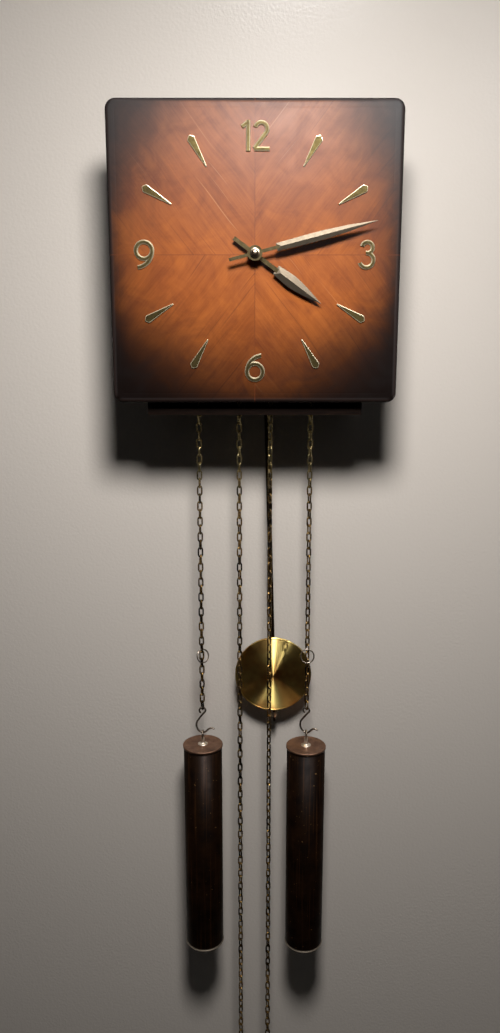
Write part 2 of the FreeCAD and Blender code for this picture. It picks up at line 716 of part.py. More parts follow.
def great_wheel(label, click_label, centre, hand):
    """A great wheel that rides free on the chain wheel's arbor, and the click that it carries."""
    wheel = toothed(centre, GREAT_TEETH, GREAT_MODULE, 0, GREAT_PLANE, 2)
    wheel = crossed_out(wheel, centre, 26, 15.5, GREAT_PLANE, 2)
    hub = shaft(centre, GREAT_PLANE, 5, 3.5)
    shaped(label, joined(wheel, hub).cut(shaft(centre, GREAT_PLANE - 1, SPROCKET_ARBOR + 0.15, 9)))
    reach = RATCHET_RADIUS + 0.3
    pawl = [(hand * reach, 0), (hand * (reach + 0.9), 4.5), (hand * 14.6, 9), (hand * 11.2, 10.6),
            (hand * (reach - 0.2), 5)]
    pawl = [(centre[0] + x, centre[1] + z) for x, z in pawl]
    post = shaft((centre[0] + hand * 12.6, centre[1] + 8.4), GREAT_PLANE - 1.1, 1, 1.1)
    shaped(click_label, prism(pawl, GREAT_PLANE - 2.3, 1.2).fuse(post))


great_wheel("great_wheel_time", "click_time", GREAT_TIME, 1)
great_wheel("great_wheel_strike", "click_strike", GREAT_STRIKE, -1)

second = crossed_out(toothed(SECOND, SECOND_TEETH, SECOND_MODULE, 0, SECOND_PLANE, WHEEL_THICK),
                     SECOND, 18.6, 6, SECOND_PLANE, WHEEL_THICK)
shaped("second_wheel", joined(arbor(SECOND), second,
                              toothed(SECOND, LOW_LEAVES, GREAT_MODULE, second_pinion_phase, 60.5, 5)))

centre_wheel = crossed_out(toothed(CENTRE, CENTRE_TEETH, CENTRE_MODULE, 0, CENTRE_PLANE, WHEEL_THICK),
                           CENTRE, 16.2, 5, CENTRE_PLANE, WHEEL_THICK)
CENTRE_ARBOR_END = FACE_FRONT + 12
shaped("centre_wheel", joined(shaft(CENTRE, BACK + 0.3, size("arbor_radius"), CENTRE_ARBOR_END - BACK - 0.3),
                              shaft(CENTRE, REAR_PLATE, size("pivot_radius"), 5), centre_wheel,
                              toothed(CENTRE, LOW_LEAVES, SECOND_MODULE, centre_pinion_phase, 66, 4)))

third = crossed_out(toothed(THIRD, THIRD_TEETH, THIRD_MODULE, 0, THIRD_PLANE, WHEEL_THICK),
                    THIRD, 15, 4.5, THIRD_PLANE, WHEEL_THICK)
shaped("third_wheel", joined(arbor(THIRD), third,
                             toothed(THIRD, HIGH_LEAVES, CENTRE_MODULE, third_pinion_phase, 43.2, 3)))

escape_outline = []
for k in range(2 * ESCAPE_TEETH):
    # each tooth leans forward, so its root lies behind its tip
    angle = (k + (0.55 if k % 2 else 0)) * math.pi / ESCAPE_TEETH
    radius = 11.4 if k % 2 else ESCAPE_RADIUS
    escape_outline.append((ESCAPE[0] + radius * math.cos(angle), ESCAPE[1] + radius * math.sin(angle)))
escape = prism(escape_outline, ESCAPE_PLANE, WHEEL_THICK)
escape = crossed_out(escape, ESCAPE, 9.6, 3.6, ESCAPE_PLANE, WHEEL_THICK)
shaped("escape_wheel", joined(arbor(ESCAPE), escape,
                              toothed(ESCAPE, HIGH_LEAVES, THIRD_MODULE, escape_pinion_phase, 39.5, 3)))

pin_wheel = crossed_out(toothed(PIN_ARBOR, CENTRE_TEETH, PIN_MODULE, 0, PIN_PLANE, WHEEL_THICK),
                        PIN_ARBOR, 12.6, 4.5, PIN_PLANE, WHEEL_THICK)
PIN_CIRCLE = 15
PIN_RADIUS = 0.75
pins = [shaft((PIN_ARBOR[0] + PIN_CIRCLE * math.cos(a), PIN_ARBOR[1] + PIN_CIRCLE * math.sin(a)),
              PIN_PLANE + 1, PIN_RADIUS, 3.5) for a in (k * math.pi / 4 for k in range(8))]
shaped("pin_wheel", joined(arbor(PIN_ARBOR), pin_wheel, *pins,
                           toothed(PIN_ARBOR, LOW_LEAVES, GREAT_MODULE, pin_pinion_phase, 60.5, 5)))

fly_vane = prism([(FLY[0] - 11, FLY[1] - 0.4), (FLY[0] + 11, FLY[1] - 0.4),
                  (FLY[0] + 11, FLY[1] + 0.4), (FLY[0] - 11, FLY[1] + 0.4)], 42, 16)
shaped("fly", joined(arbor(FLY), fly_vane, shaft(FLY, 41, 2.4, 18),
                     toothed(FLY, HIGH_LEAVES, PIN_MODULE, fly_pinion_phase, 70.4, 3)))

# ---------------------------------------------------------------- chain wheels

LINK_PLAY = 0.15


def chain_wheel(label, centre, hand):
    """An eight-sided drum with a lug at each corner, a groove for the standing links, and a ratchet."""
    depth = size("chain_depth") - size("sprocket_width") / 2
    width = size("sprocket_width")
    flat = STRAND_OFFSET - size("chain_wire") / 2 - LINK_PLAY
    corner = flat / math.cos(math.pi / 8)
    lug_tip = corner + 1.2
    lug_half = 1.4 / corner
    outline = []
    for k in range(8):
        middle = (k + 0.5) * math.pi / 4
        inner = flat / math.cos(math.pi / 8 - lug_half)
        for radius, angle in ((inner, middle - lug_half), (lug_tip, middle - lug_half * 0.7),
                              (lug_tip, middle + lug_half * 0.7), (inner, middle + lug_half)):
            outline.append((centre[0] + radius * math.cos(angle), centre[1] + radius * math.sin(angle)))
    groove_floor = STRAND_OFFSET - size("link_width") / 2 - 0.3
    groove_width = size("chain_wire") + 0.8
    groove_depth = size("chain_depth") - groove_width / 2
    groove = shaft(centre, groove_depth, 30, groove_width)
    groove = groove.cut(shaft(centre, groove_depth, groove_floor, groove_width))
    ratchet_teeth = 24
    ratchet = []
    for k in range(2 * ratchet_teeth):
        # an upright face and a long slope to each tooth
        angle = hand * (k // 2 + (0.12 if k % 2 else 0)) * 2 * math.pi / ratchet_teeth
        radius = RATCHET_RADIUS - 1.4 if k % 2 else RATCHET_RADIUS
        ratchet.append((centre[0] + radius * math.cos(angle), centre[1] + radius * math.sin(angle)))
    drum = prism(outline, depth, width).cut(groove)
    ratchet_depth = depth + width
    shaped(label, joined(drum, prism(ratchet, ratchet_depth, GREAT_PLANE - ratchet_depth - 1),
                         arbor(centre, SPROCKET_ARBOR, GREAT_PIVOT)))


chain_wheel("chain_wheel_time", GREAT_TIME, 1)
chain_wheel("chain_wheel_strike", GREAT_STRIKE, -1)

# ---------------------------------------------------------------- motion work and hands

CANNON_RADIUS, CANNON_BORE = 2.75, 1.6
HOUR_PIPE_RADIUS, HOUR_PIPE_BORE = 4.25, 2.95
HOUR_DEPTH = FACE_FRONT + size("hour_stand")
MINUTE_DEPTH = FACE_FRONT + size("minute_stand")
HAND_THICK = size("hand_thick")

cannon = joined(shaft(CENTRE, CANNON_PLANE, CANNON_RADIUS, MINUTE_DEPTH + HAND_THICK + 0.4 - CANNON_PLANE),
                toothed(CENTRE, 10, MOTION_MODULE, 0, CANNON_PLANE, 2.5))
shaped("cannon_pinion", cannon.cut(shaft(CENTRE, CANNON_PLANE - 1, CANNON_BORE, 60)))

minute_wheel = toothed(MINUTE_STUD, 30, MOTION_MODULE, minute_wheel_phase, MINUTE_PLANE, WHEEL_THICK)
minute_wheel = crossed_out(minute_wheel, MINUTE_STUD, 9.2, 4.4, MINUTE_PLANE, WHEEL_THICK)
minute_leaves = toothed(MINUTE_STUD, 8, MOTION_MODULE, 0, MINUTE_PLANE + WHEEL_THICK, 3.6)
shaped("minute_wheel", joined(minute_wheel, minute_leaves).cut(shaft(MINUTE_STUD, 80, 1.65, 12)))
shaped("minute_wheel_stud", shaft(MINUTE_STUD, INSIDE_FRONT, size("arbor_radius"), 10.6)
       .fuse(shaft(MINUTE_STUD, INSIDE_FRONT + 10.6, 2.3, 0.8)))

hour_wheel = joined(shaft(CENTRE, HOUR_PLANE, HOUR_PIPE_RADIUS, HOUR_DEPTH + HAND_THICK + 0.3 - HOUR_PLANE),
                    toothed(CENTRE, 32, MOTION_MODULE, hour_wheel_phase, HOUR_PLANE, WHEEL_THICK))
shaped("hour_wheel", hour_wheel.cut(shaft(CENTRE, HOUR_PLANE - 1, HOUR_PIPE_BORE, 60)))


BLADE_SIDE = 0.7
BLADE_PITCH = 0.18


def ridged_blade(stations, depth):
    """A hand's blade that points to twelve: flat behind, two facets in front that meet in a ridge.

    stations lists height and half width up to the tip; the ridge starts at the second station, so
    that the blade ends in a slanted facet towards the boss.
    """

    def at(x, z, forward):
        return place(x, depth + forward, z)

    def crest(half, z):
        return at(0, z, BLADE_SIDE + BLADE_PITCH * half)

    right_back = [at(half, z, 0) for z, half in stations]
    left_back = [at(-half, z, 0) for z, half in stations[-2::-1]]
    faces = [tuple(right_back + left_back)]
    for side in (-1, 1):
        for (z0, half0), (z1, half1) in zip(stations, stations[1:]):
            x0, x1 = side * half0, side * half1
            low0, low1 = at(x0, z0, BLADE_SIDE), at(x1, z1, BLADE_SIDE)
            faces.append((at(x0, z0, 0), at(x1, z1, 0), low1, low0))
            if (z0, half0) == stations[0]:
                faces.append((low0, low1, crest(half1, z1)))
            elif half1:
                faces.append((low0, low1, crest(half1, z1), crest(half0, z0)))
            else:
                faces.append((low0, low1, crest(half0, z0)))
    z0, half0 = stations[0]
    left, right = at(-half0, z0, BLADE_SIDE), at(half0, z0, BLADE_SIDE)
    faces.append((at(-half0, z0, 0), at(half0, z0, 0), right, left))
    faces.append((left, right, crest(stations[1][1], stations[1][0])))
    blade = solid_of(faces)
    if blade.Volume < 0:
        blade.reverse()
    return blade


def hand(label, angle, depth, stem_half, tail, stations, boss, bore):
    """A hand with a boss on its pipe, a straight counter-tail and a ridged blade."""
    stem_end = stations[0][0] + 2
    stem = prism([(-stem_half, -tail), (stem_half, -tail), (stem_half, stem_end), (-stem_half, stem_end)],
                 depth, HAND_THICK)
    whole = joined(stem, shaft(CENTRE, depth, boss, HAND_THICK), ridged_blade(stations, depth))
    whole = whole.cut(shaft(CENTRE, depth - 1, bore, 6))
    whole.rotate(place(0, 0, 0), Vector(0, 1, 0), angle)
    shaped(label, whole)


HOUR_BLADE = [(23, 4.4), (28, 4.8), (34, 5.35), (40, 5.6), (48, 4.9), (56, 3.6), (size("hour_reach"), 0)]
MINUTE_BLADE = [(19.7, 3.35), (23.5, 3.45), (45, 3.8), (63, 3.75), (85, 2.7), (size("minute_reach"), 0)]
hand("hour_hand", size("hour_angle"), HOUR_DEPTH, 1.8, 23, HOUR_BLADE, 6.4, HOUR_PIPE_RADIUS + 0.05)
hand("minute_hand", size("minute_angle"), MINUTE_DEPTH, 1.4, 23.5, MINUTE_BLADE, 6.6, CANNON_RADIUS + 0.05)

NUT_DEPTH = MINUTE_DEPTH + HAND_THICK + 0.4
hand_nut = new_body("hand_nut", "0", "-dial_drop")
nut_profile = new_sketch(hand_nut, "profile", "0", "YZ_Plane")
polygon(nut_profile, [(-NUT_DEPTH, 0), (-NUT_DEPTH, 4.2), (-NUT_DEPTH - 0.9, 4.2), (-NUT_DEPTH - 1.3, 3.1),
                      (-NUT_DEPTH - 2.8, 2.8), (-NUT_DEPTH - 3.8, 1.7), (-NUT_DEPTH - 4.2, 0)])
revolution(hand_nut, nut_profile, "H_Axis")

# ---------------------------------------------------------------- hammer and gong

GONG_X = -size("gong_x")
HAMMER_HEAD = (GONG_X + 8, -8)
hammer_way = bearing(HAMMER, PIN_ARBOR)
tail_reach = math.hypot(PIN_ARBOR[0] - HAMMER[0], PIN_ARBOR[1] - HAMMER[1]) - PIN_CIRCLE - PIN_RADIUS - 0.5
tail_end = (HAMMER[0] + tail_reach * math.cos(math.radians(hammer_way)),
            HAMMER[1] + tail_reach * math.sin(math.radians(hammer_way)))
hammer_head = Part.makeCylinder(5, 10, place(HAMMER_HEAD[0] - 5, 67, HAMMER_HEAD[1]), Vector(1, 0, 0))
shaped("hammer", joined(arbor(HAMMER), strip(HAMMER, tail_end, 2.4, 73.2, 1.4), shaft(HAMMER, 64, 3, 11),
                        strip(HAMMER, HAMMER_HEAD, 2.6, 66, 1.6), hammer_head))

gong_block = block("gong_block", "-case_width/2 + board", "56", "68 - dial_drop", "24", "24", "18")
subpart(gong_block, "gong_block")
gong_rods = []
for k, (rod_depth, shorter) in enumerate(((67, "0"), (75, "22"))):
    rod = doc.addObject("Part::Cylinder", f"gong_rod_{k + 1}")
    bind(rod, {"Radius": "2", "Height": f"gong_length - {shorter}", "Placement.Base.x": "-gong_x",
               "Placement.Base.y": f"-{rod_depth}",
               "Placement.Base.z": f"68 - dial_drop - gong_length + {shorter}"})
    gong_rods.append(rod)
compound("gong_rods", gong_rods)

# ---------------------------------------------------------------- anchor and pendulum

TILT = size("pendulum_tilt")


def hung_off_plumb(shape):
    """The shape turned about the pendulum's pivot to where the pendulum stands."""
    shape.rotate(place(PENDULUM_PIVOT[0], 0, PENDULUM_PIVOT[1]), Vector(0, 1, 0), -TILT)
    return shape


def from_pivot(points):
    """Outline points counted from the pendulum's pivot."""
    return [(PENDULUM_PIVOT[0] + x, PENDULUM_PIVOT[1] + z) for x, z in points]


half_anchor = [(0, 3.2), (5.5, 1.8), (13.5, -8.2), (13.6, -12.2), (10.4, -8.7), (4.6, -3.9), (0, -3.0)]
anchor_outline = half_anchor + [(-x, z) for x, z in half_anchor[-2:0:-1]]
CRUTCH_DEPTH, CRUTCH_DROP, PRONG = 28, 46, 0.9
prong_x = size("rod_width") / 2 + PRONG + 0.12
crutch = strip(*from_pivot([(0, 0), (0, -CRUTCH_DROP)]), 3, CRUTCH_DEPTH, 1.5)
fork_ends = from_pivot([(-prong_x - PRONG, -CRUTCH_DROP), (prong_x + PRONG, -CRUTCH_DROP)])
fork = strip(*fork_ends, 3, CRUTCH_DEPTH, 1.5)
prongs = [shaft(from_pivot([(side * prong_x, -CRUTCH_DROP)])[0], size("pendulum_depth") - 2, PRONG, 10)
          for side in (-1, 1)]
arbor_length = INSIDE_FRONT - CRUTCH_DEPTH - 0.3
anchor_arbor = joined(shaft(PENDULUM_PIVOT, CRUTCH_DEPTH, size("arbor_radius"), arbor_length),
                      shaft(PENDULUM_PIVOT, INSIDE_FRONT - 1, size("pivot_radius"), 1 + PLATE))
pallets = prism(from_pivot(anchor_outline), ESCAPE_PLANE, WHEEL_THICK)
shaped("anchor", hung_off_plumb(joined(anchor_arbor, pallets, crutch, fork, *prongs)))

ROD_BACK = size("pendulum_depth")
ROD_FRONT = ROD_BACK + size("rod_thick")
suspension_bracket = block("suspension_bracket", "pivot_x - 5", "pendulum_depth - 4",
                           "pivot_rise + 8 - dial_drop",
                           "10", "rear_plate_depth - pendulum_depth + 4", "10")
subpart(suspension_bracket, "suspension_bracket")
suspension_spring = block("suspension_spring", "pivot_x - 2", "pendulum_depth + 0.45",
                          "pivot_rise + 0.2 - dial_drop",
                          "4", "0.3", "7.8")
subpart(suspension_spring, "suspension_spring")

BOB_DROP = size("pendulum_length")
ROD_END = BOB_DROP + size("bob_radius") + 6
rod_half = size("rod_width") / 2
half_rod = [(1.4, 0), (rod_half, -1), (rod_half, 6 - ROD_END), (1.2, 4 - ROD_END)]
rod_outline = from_pivot(half_rod + [(-x, z) for x, z in reversed(half_rod)])
pendulum_rod = prism(rod_outline, ROD_BACK, size("rod_thick"))
screw_foot = place(PENDULUM_PIVOT[0], ROD_BACK + 1.3, PENDULUM_PIVOT[1] - ROD_END - 8)
screw_end = Part.makeCylinder(1.3, 13.2, screw_foot)
shaped("pendulum_rod", hung_off_plumb(joined(pendulum_rod, screw_end)))

tilt = math.radians(TILT)
BOB = (PENDULUM_PIVOT[0] + BOB_DROP * math.sin(tilt), PENDULUM_PIVOT[1] - BOB_DROP * math.cos(tilt))


def turned_on_bob(label, profile):
    """A body turned about the bob's middle; the profile lists depth and radius."""
    body = new_body(label, f"{BOB[0]}", f"{BOB[1]} - dial_drop")
    drawing = new_sketch(body, "profile", "0", "YZ_Plane")
    polygon(drawing, [(-depth, radius) for depth, radius in profile])
    revolution(body, drawing, "H_Axis")


BOB_RADIUS = size("bob_radius")
BOB_BACK = ROD_FRONT + 0.1
BOB_FRONT = BOB_BACK + 3.1 + size("bob_rise")
turned_on_bob("bob_weight", [(BOB_BACK, 0), (BOB_BACK, BOB_RADIUS - 2.5), (BOB_BACK + 1.7, BOB_RADIUS - 2.5),
                             (BOB_FRONT - 1.5, 0)])
turned_on_bob("bob_shell", [(BOB_FRONT - 1.2, 0), (BOB_BACK + 2.0, BOB_RADIUS - 2),
                            (BOB_BACK, BOB_RADIUS - 1.2), (BOB_BACK, BOB_RADIUS),
                            (BOB_BACK + 2.1, BOB_RADIUS), (BOB_BACK + 3.1, BOB_RADIUS - 0.9),
                            (BOB_FRONT, 0)])

nut_outline = [(3.6 * math.cos(a), 3.6 * math.sin(a)) for a in (k * math.pi / 6 for k in range(12))]
nut_z = PENDULUM_PIVOT[1] - ROD_END - 2
nut_points = [place(PENDULUM_PIVOT[0] + x, ROD_BACK + 1.3 + y, nut_z) for x, y in nut_outline]
rating_nut = Part.Face(Part.makePolygon(nut_points + nut_points[:1])).extrude(Vector(0, 0, 5))
rating_nut = rating_nut.cut(Part.makeCylinder(1.4, 8, place(PENDULUM_PIVOT[0], ROD_BACK + 1.3, nut_z - 2)))
shaped("rating_nut", hung_off_plumb(rating_nut))

# ---------------------------------------------------------------- chains, hooks and weights

PITCH = size("chain_pitch")
WIRE = size("chain_wire")
LINK_HALF = size("link_width") / 2
LINK_GAP = 0.03
LINK_SECTION = [(-WIRE / 2, 0), (WIRE / 2 - 0.05, WIRE / 2), (WIRE / 2 - 0.05, -WIRE / 2)]
shoulder_x = LINK_HALF - WIRE / 2 + 0.05
shoulder_z = PITCH * 0.375
# the middle line's end, so that the wire's inner edge there is half a pitch from the link's middle
end_slope = 43.3
link_end = PITCH / 2 + LINK_GAP + WIRE / 2 / math.cos(math.radians(end_slope))
LINK_PATH = [(shoulder_x, shoulder_z), (shoulder_x, -shoulder_z), (0, -link_end), (-shoulder_x, -shoulder_z),
             (-shoulder_x, shoulder_z), (0, link_end)]
HOOK_WIRE = 1.0
RING_WIRE = 0.6
RING_RADIUS = 6.9


def base_link():
    """One link about the origin, upright in the XZ plane, travelled clockwise so that out is outwards."""
    return bent_wire([(-x, z) for x, z in LINK_PATH], LINK_SECTION, True)


def chain_link(x, z, angle, edge_on):
    """A link at a place about the dial centre, leaning by an angle in degrees, seen flat or on edge."""
    link = LINK.copy()
    if edge_on:
        link.rotate(Vector(), Vector(0, 0, 1), 90)
    link.rotate(Vector(), FRONT, angle)
    link.translate(place(x, size("chain_depth"), z))
    return link


def strand(hand_side, outer, count):
    """The links from the top of a chain wheel down one of its sides; every other link is on edge."""
    middle = hand_side * size("sprocket_x")
    top = -size("sprocket_drop")
    side = hand_side if outer else -hand_side
    links = []
    step = 360 / size("turn_links")
    for k in range(4 if outer else 3, 0, -1):
        angle = math.radians(k * step)
        links.append(chain_link(middle + side * STRAND_OFFSET * math.cos(angle),
                                top + STRAND_OFFSET * math.sin(angle), side * k * step, k % 2 == 0))
    for k in range(int(count)):
        links.append(chain_link(middle + side * STRAND_OFFSET, top - k * PITCH, 0, k % 2 == 0))
    return links


def round_path(centre_z, radius, sides):
    """A regular outline about (0, centre_z), travelled clockwise, with a corner at the top."""
    return [(radius * math.sin(a), centre_z + radius * math.cos(a))
            for a in (k * 2 * math.pi / sides for k in range(sides))]


def hung_ring(label, x, link_index, above_end, lean, turn):
    """A wire ring that hangs in a strand's link, above its lower end, leaning forward and turned."""
    ring = bent_wire(round_path(-RING_RADIUS, RING_RADIUS, 16), hexagon(RING_WIRE), True)
    ring.rotate(Vector(), Vector(1, 0, 0), -lean)
    ring.rotate(Vector(), Vector(0, 0, 1), turn)
    link_end_z = -size("sprocket_drop") - (link_index + 0.5) * PITCH - LINK_GAP
    ring.translate(place(x, size("chain_depth"), link_end_z + above_end))
    shaped(label, ring)


LINK = base_link()
HANGING = int(size("hanging_links"))
FREE = int(size("free_links"))
STOP_LINK = HANGING - 9
HOOK_TOP = -size("sprocket_drop") - (HANGING - 1) * PITCH - PITCH / 2 - LINK_GAP + 1.4 * HOOK_WIRE
EYE_RADIUS = 3.2
HOOK_HEIGHT = 29
HOOK_FOOT = HOOK_TOP - HOOK_HEIGHT


def chain_hook(x, turn):
    """An S hook: a closed eye in the last link, a bow to the left, an open lip to the right."""
    eye = [(EYE_RADIUS * math.sin(a), HOOK_HEIGHT - EYE_RADIUS + EYE_RADIUS * math.cos(a))
           for a in (math.radians(k * 45) for k in range(-3, 4))]
    bow = [(-3.5, 16.4), (-6.1, 12.4), (-6.5, 8), (-4.7, 3.2), (0, 0)]
    path = eye + bow + [(3.4, 1.5), (6.4, 4.4), (9.4, 5.4), (12.6, 4.2)]
    wire = bent_wire(path, hexagon(HOOK_WIRE), False)
    wire.rotate(Vector(), Vector(0, 0, 1), turn)
    wire.translate(place(x, size("chain_depth"), HOOK_FOOT))
    return wire


WEIGHT_RADIUS = size("weight_radius")
WALL = size("weight_wall")
CAP_THICK = 2.4
CAP_OVERHANG = 0.35


def turned_weight_part(label, x, profile):
    """A body turned about a weight's upright axis; the profile lists radius and height about the dial."""
    body = new_body(label, f"{x}", "-dial_drop")
    bind(body, {"Placement.Base.y": "-chain_depth"})
    drawing = new_sketch(body, "profile")
    polygon(drawing, profile)
    revolution(body, drawing, "V_Axis")
    return body


def weight(side, name):
    """The shell, its lid with an eye, and the iron core of one weight."""
    x = side * OUTER_STRAND
    top = -size("weight_drop") - (size("right_lower") if side > 0 else 0)
    shell_top = top - CAP_THICK
    foot = top - size("weight_length")
    inner = WEIGHT_RADIUS - WALL
    turned_weight_part(f"weight_shell_{name}", x, [
        (0, foot), (WEIGHT_RADIUS, foot), (WEIGHT_RADIUS, foot + 1.8), (WEIGHT_RADIUS - 0.5, foot + 2.6),
        (WEIGHT_RADIUS - 0.5, shell_top), (inner, shell_top), (inner, foot + 1.5), (0, foot + 1.5)])
    turned_weight_part(f"weight_core_{name}", x, [
        (0, foot + 1.6), (inner - 0.2, foot + 1.6), (inner - 0.2, shell_top - 1), (0, shell_top - 1)])
    eye_middle = HOOK_FOOT + 2.35 * HOOK_WIRE - 4
    flange = WEIGHT_RADIUS + CAP_OVERHANG
    lid_profile = [(0, shell_top - 0.9), (inner - 0.3, shell_top - 0.9), (inner - 0.3, shell_top),
                   (flange, shell_top), (flange, top - 0.9), (flange - 0.9, top), (4.8, top),
                   (4.2, top + 0.9), (2.4, top + 1.3), (2.1, eye_middle - 3.4), (0, eye_middle - 3.4)]
    points = [place(radius, 0, z) for radius, z in lid_profile]
    lid = Part.Face(Part.makePolygon(points + points[:1])).revolve(place(0, 0, 0), Vector(0, 0, 1), 360)
    eye = bent_wire(round_path(0, 4, 12), hexagon(1.0), True)
    eye.rotate(Vector(), Vector(0, 0, 1), 90)
    eye.translate(place(0, 0, eye_middle))
    lid = lid.fuse(eye)
    lid.translate(Vector(x, -size("chain_depth"), 0))
    shaped(f"weight_cap_{name}", lid)


for side, name in ((-1, "left"), (1, "right")):
    outer_x = side * OUTER_STRAND
    inner_x = side * INNER_STRAND
    weight(side, name)
    shaped(f"chain_hanging_{name}", Part.makeCompound(strand(side, True, HANGING)))
    shaped(f"chain_free_{name}", Part.makeCompound(strand(side, False, FREE)))
    hung_ring(f"end_ring_{name}", inner_x, FREE - 1, 1.4 * RING_WIRE, 0, 0)
    hung_ring(f"stop_ring_{name}", outer_x, STOP_LINK, 1.46 * WIRE + RING_WIRE, 17, 0 if side > 0 else 38)
    shaped(f"chain_hook_{name}", chain_hook(outer_x, 0 if side < 0 else -14))

# ---------------------------------------------------------------- checks and files

doc.recompute()
for thing in doc.Objects:
    if {"Invalid", "Error"} & set(thing.State):
        raise ValueError(f"{thing.Label} failed: {thing.State}")
labels = [thing.Label for thing in SUBPARTS]
if len(set(labels)) != len(labels):
    raise ValueError("two sub-parts share a label")
for thing in SUBPARTS:
    if thing.Shape.isNull() or not thing.Shape.isValid() or not thing.Shape.Solids:
        raise ValueError(f"{thing.Label} has no valid solid")

os.makedirs("parts", exist_ok=True)
for thing in SUBPARTS:
    thing.Shape.exportStep(f"parts/{thing.Label}.step")
print(f"{len(SUBPARTS)} sub-parts")
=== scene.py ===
"""The looks of a square-faced wall clock that hangs on a nail, with two chain-hung weights and a pendulum.

Metres, +Z up, +X to the right of someone who faces the dial, the wall in the plane Y = 0.
"""

import json
import math

import bpy
import numpy as np
from mathutils import Matrix, Vector


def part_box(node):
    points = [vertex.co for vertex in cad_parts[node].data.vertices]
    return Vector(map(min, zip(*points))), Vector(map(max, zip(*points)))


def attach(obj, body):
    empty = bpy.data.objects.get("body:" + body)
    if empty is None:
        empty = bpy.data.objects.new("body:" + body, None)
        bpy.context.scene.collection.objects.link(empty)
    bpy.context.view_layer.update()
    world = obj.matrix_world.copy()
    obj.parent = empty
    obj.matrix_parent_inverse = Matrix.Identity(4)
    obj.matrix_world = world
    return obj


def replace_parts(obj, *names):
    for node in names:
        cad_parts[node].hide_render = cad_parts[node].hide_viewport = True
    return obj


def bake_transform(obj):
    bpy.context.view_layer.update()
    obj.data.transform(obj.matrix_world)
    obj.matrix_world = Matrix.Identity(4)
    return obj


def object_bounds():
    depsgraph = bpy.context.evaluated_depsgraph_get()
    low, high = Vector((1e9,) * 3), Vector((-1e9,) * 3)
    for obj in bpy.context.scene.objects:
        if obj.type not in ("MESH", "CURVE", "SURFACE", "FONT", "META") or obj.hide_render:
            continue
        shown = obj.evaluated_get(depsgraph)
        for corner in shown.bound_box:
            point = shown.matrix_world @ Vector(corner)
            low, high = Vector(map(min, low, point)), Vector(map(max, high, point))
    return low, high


bl_info = {
    "name": "Chain Wall Clock Finishes",
    "version": (1, 0, 0),
    "blender": (4, 5, 0),
    "location": "3D View > Sidebar > Clock",
    "description": "Dresses a weight-driven wall clock: veneer, brass, chains, bob, weights and a stage",
    "category": "Object",
}

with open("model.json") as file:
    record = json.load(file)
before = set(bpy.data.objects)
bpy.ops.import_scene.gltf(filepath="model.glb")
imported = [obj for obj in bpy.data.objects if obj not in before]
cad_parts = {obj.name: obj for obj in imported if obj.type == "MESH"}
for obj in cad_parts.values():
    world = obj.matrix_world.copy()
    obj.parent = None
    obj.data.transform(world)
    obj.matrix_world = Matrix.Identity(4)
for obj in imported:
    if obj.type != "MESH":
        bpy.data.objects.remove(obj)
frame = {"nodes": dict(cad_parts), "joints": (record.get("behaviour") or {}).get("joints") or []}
CAD_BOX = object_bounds()


def middle(node):
    """The middle of a node's box."""
    low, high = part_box(node)
    return (low + high) / 2


MM = 0.001
SIDES = {"left": -1, "right": 1}
LEVEL_AXIS = (0.0, 1.0, 0.0)

DIAL_Z = middle("hand_nut").z
FACE_LOW, FACE_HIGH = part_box("face_board")
HALF_FACE = (FACE_HIGH.x - FACE_LOW.x) / 2
CASE_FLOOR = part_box("case_bottom")[0].z
CHAIN_Y = middle("chain_free_left").y
WHEEL_Z = middle("chain_wheel_time").z
LINK_HALF = 3 * MM
OUTER_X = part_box("chain_hanging_right")[1].x - LINK_HALF
INNER_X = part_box("chain_free_right")[0].x + LINK_HALF

# the lamp that lights the clock: its place, the way it shines and its watts
LAMP_PLACE = (0.03, -0.60, 0.155)
LAMP_AIM = Vector((0.08, 0.53, -0.85))
LAMP_WATTS = 5.8
# lamps that only glossy surfaces see, by place, size and watts: the lamp itself, a bright strip of ceiling
# by it, a small one farther to the right, and the one that gives the upper wall's paint its glow
GLEAMS = {"lamp_gleam": ((0.045, -0.72, 0.215), (0.04, 0.04), 1.9),
          "wide_gleam": ((0.08, -0.74, 0.225), (0.56, 0.06), 3.0),
          "side_gleam": ((0.65, -0.80, 0.40), (0.04, 0.04), 5.0),
          "high_gleam": ((0.085, -0.60, 0.60), (0.06, 0.06), 14.0)}
GLEAM_TARGET = Vector((0, 0, -0.1))
BACK_PLACE = Vector((0.3, 1.8, 0.5))
BACK_TARGET = Vector((0, 0, -0.4))
BACK_SIZE = 1.6
BACK_WATTS = 5
# strength of the room as light, as the eye and mirrors see it, and of its dim far sides
ROOM_LEVEL = 0.02
PALE_LEVEL = 0.72
DIM_LEVEL = 0.08
SHEET_HALF = 4
WALL_TOP = 3
# the camera: metres, degrees of pitch, radians of roll, shift in film widths, lens and film width in mm
CAMERA_PLACE = (-0.00125, -0.83294, -0.18921)
CAMERA_PITCH = 10.641
CAMERA_ROLL = 0.0005
CAMERA_SHIFT = -0.00327
LENS = 27.043
FILM_WIDTH = 36


# ---- sizes and colours


def linear(code):
    """An sRGB hex colour as the linear red, green, blue and alpha that the shaders take."""
    srgb = np.array([int(code[i:i + 2], 16) for i in (1, 3, 5)]) / 255
    low, high = srgb / 12.92, ((srgb + 0.055) / 1.055) ** 2.4
    return (*np.where(srgb <= 0.04045, low, high).tolist(), 1.0)


def length(name, description, default):
    """A length property in metres."""
    return bpy.props.FloatProperty(name=name, description=description, default=default, min=0, unit="LENGTH")


def colour(name, description, code):
    """A colour property whose default is an sRGB hex value."""
    return bpy.props.FloatVectorProperty(name=name, description=description, default=linear(code), size=4,
                                         min=0, max=1, subtype="COLOR")


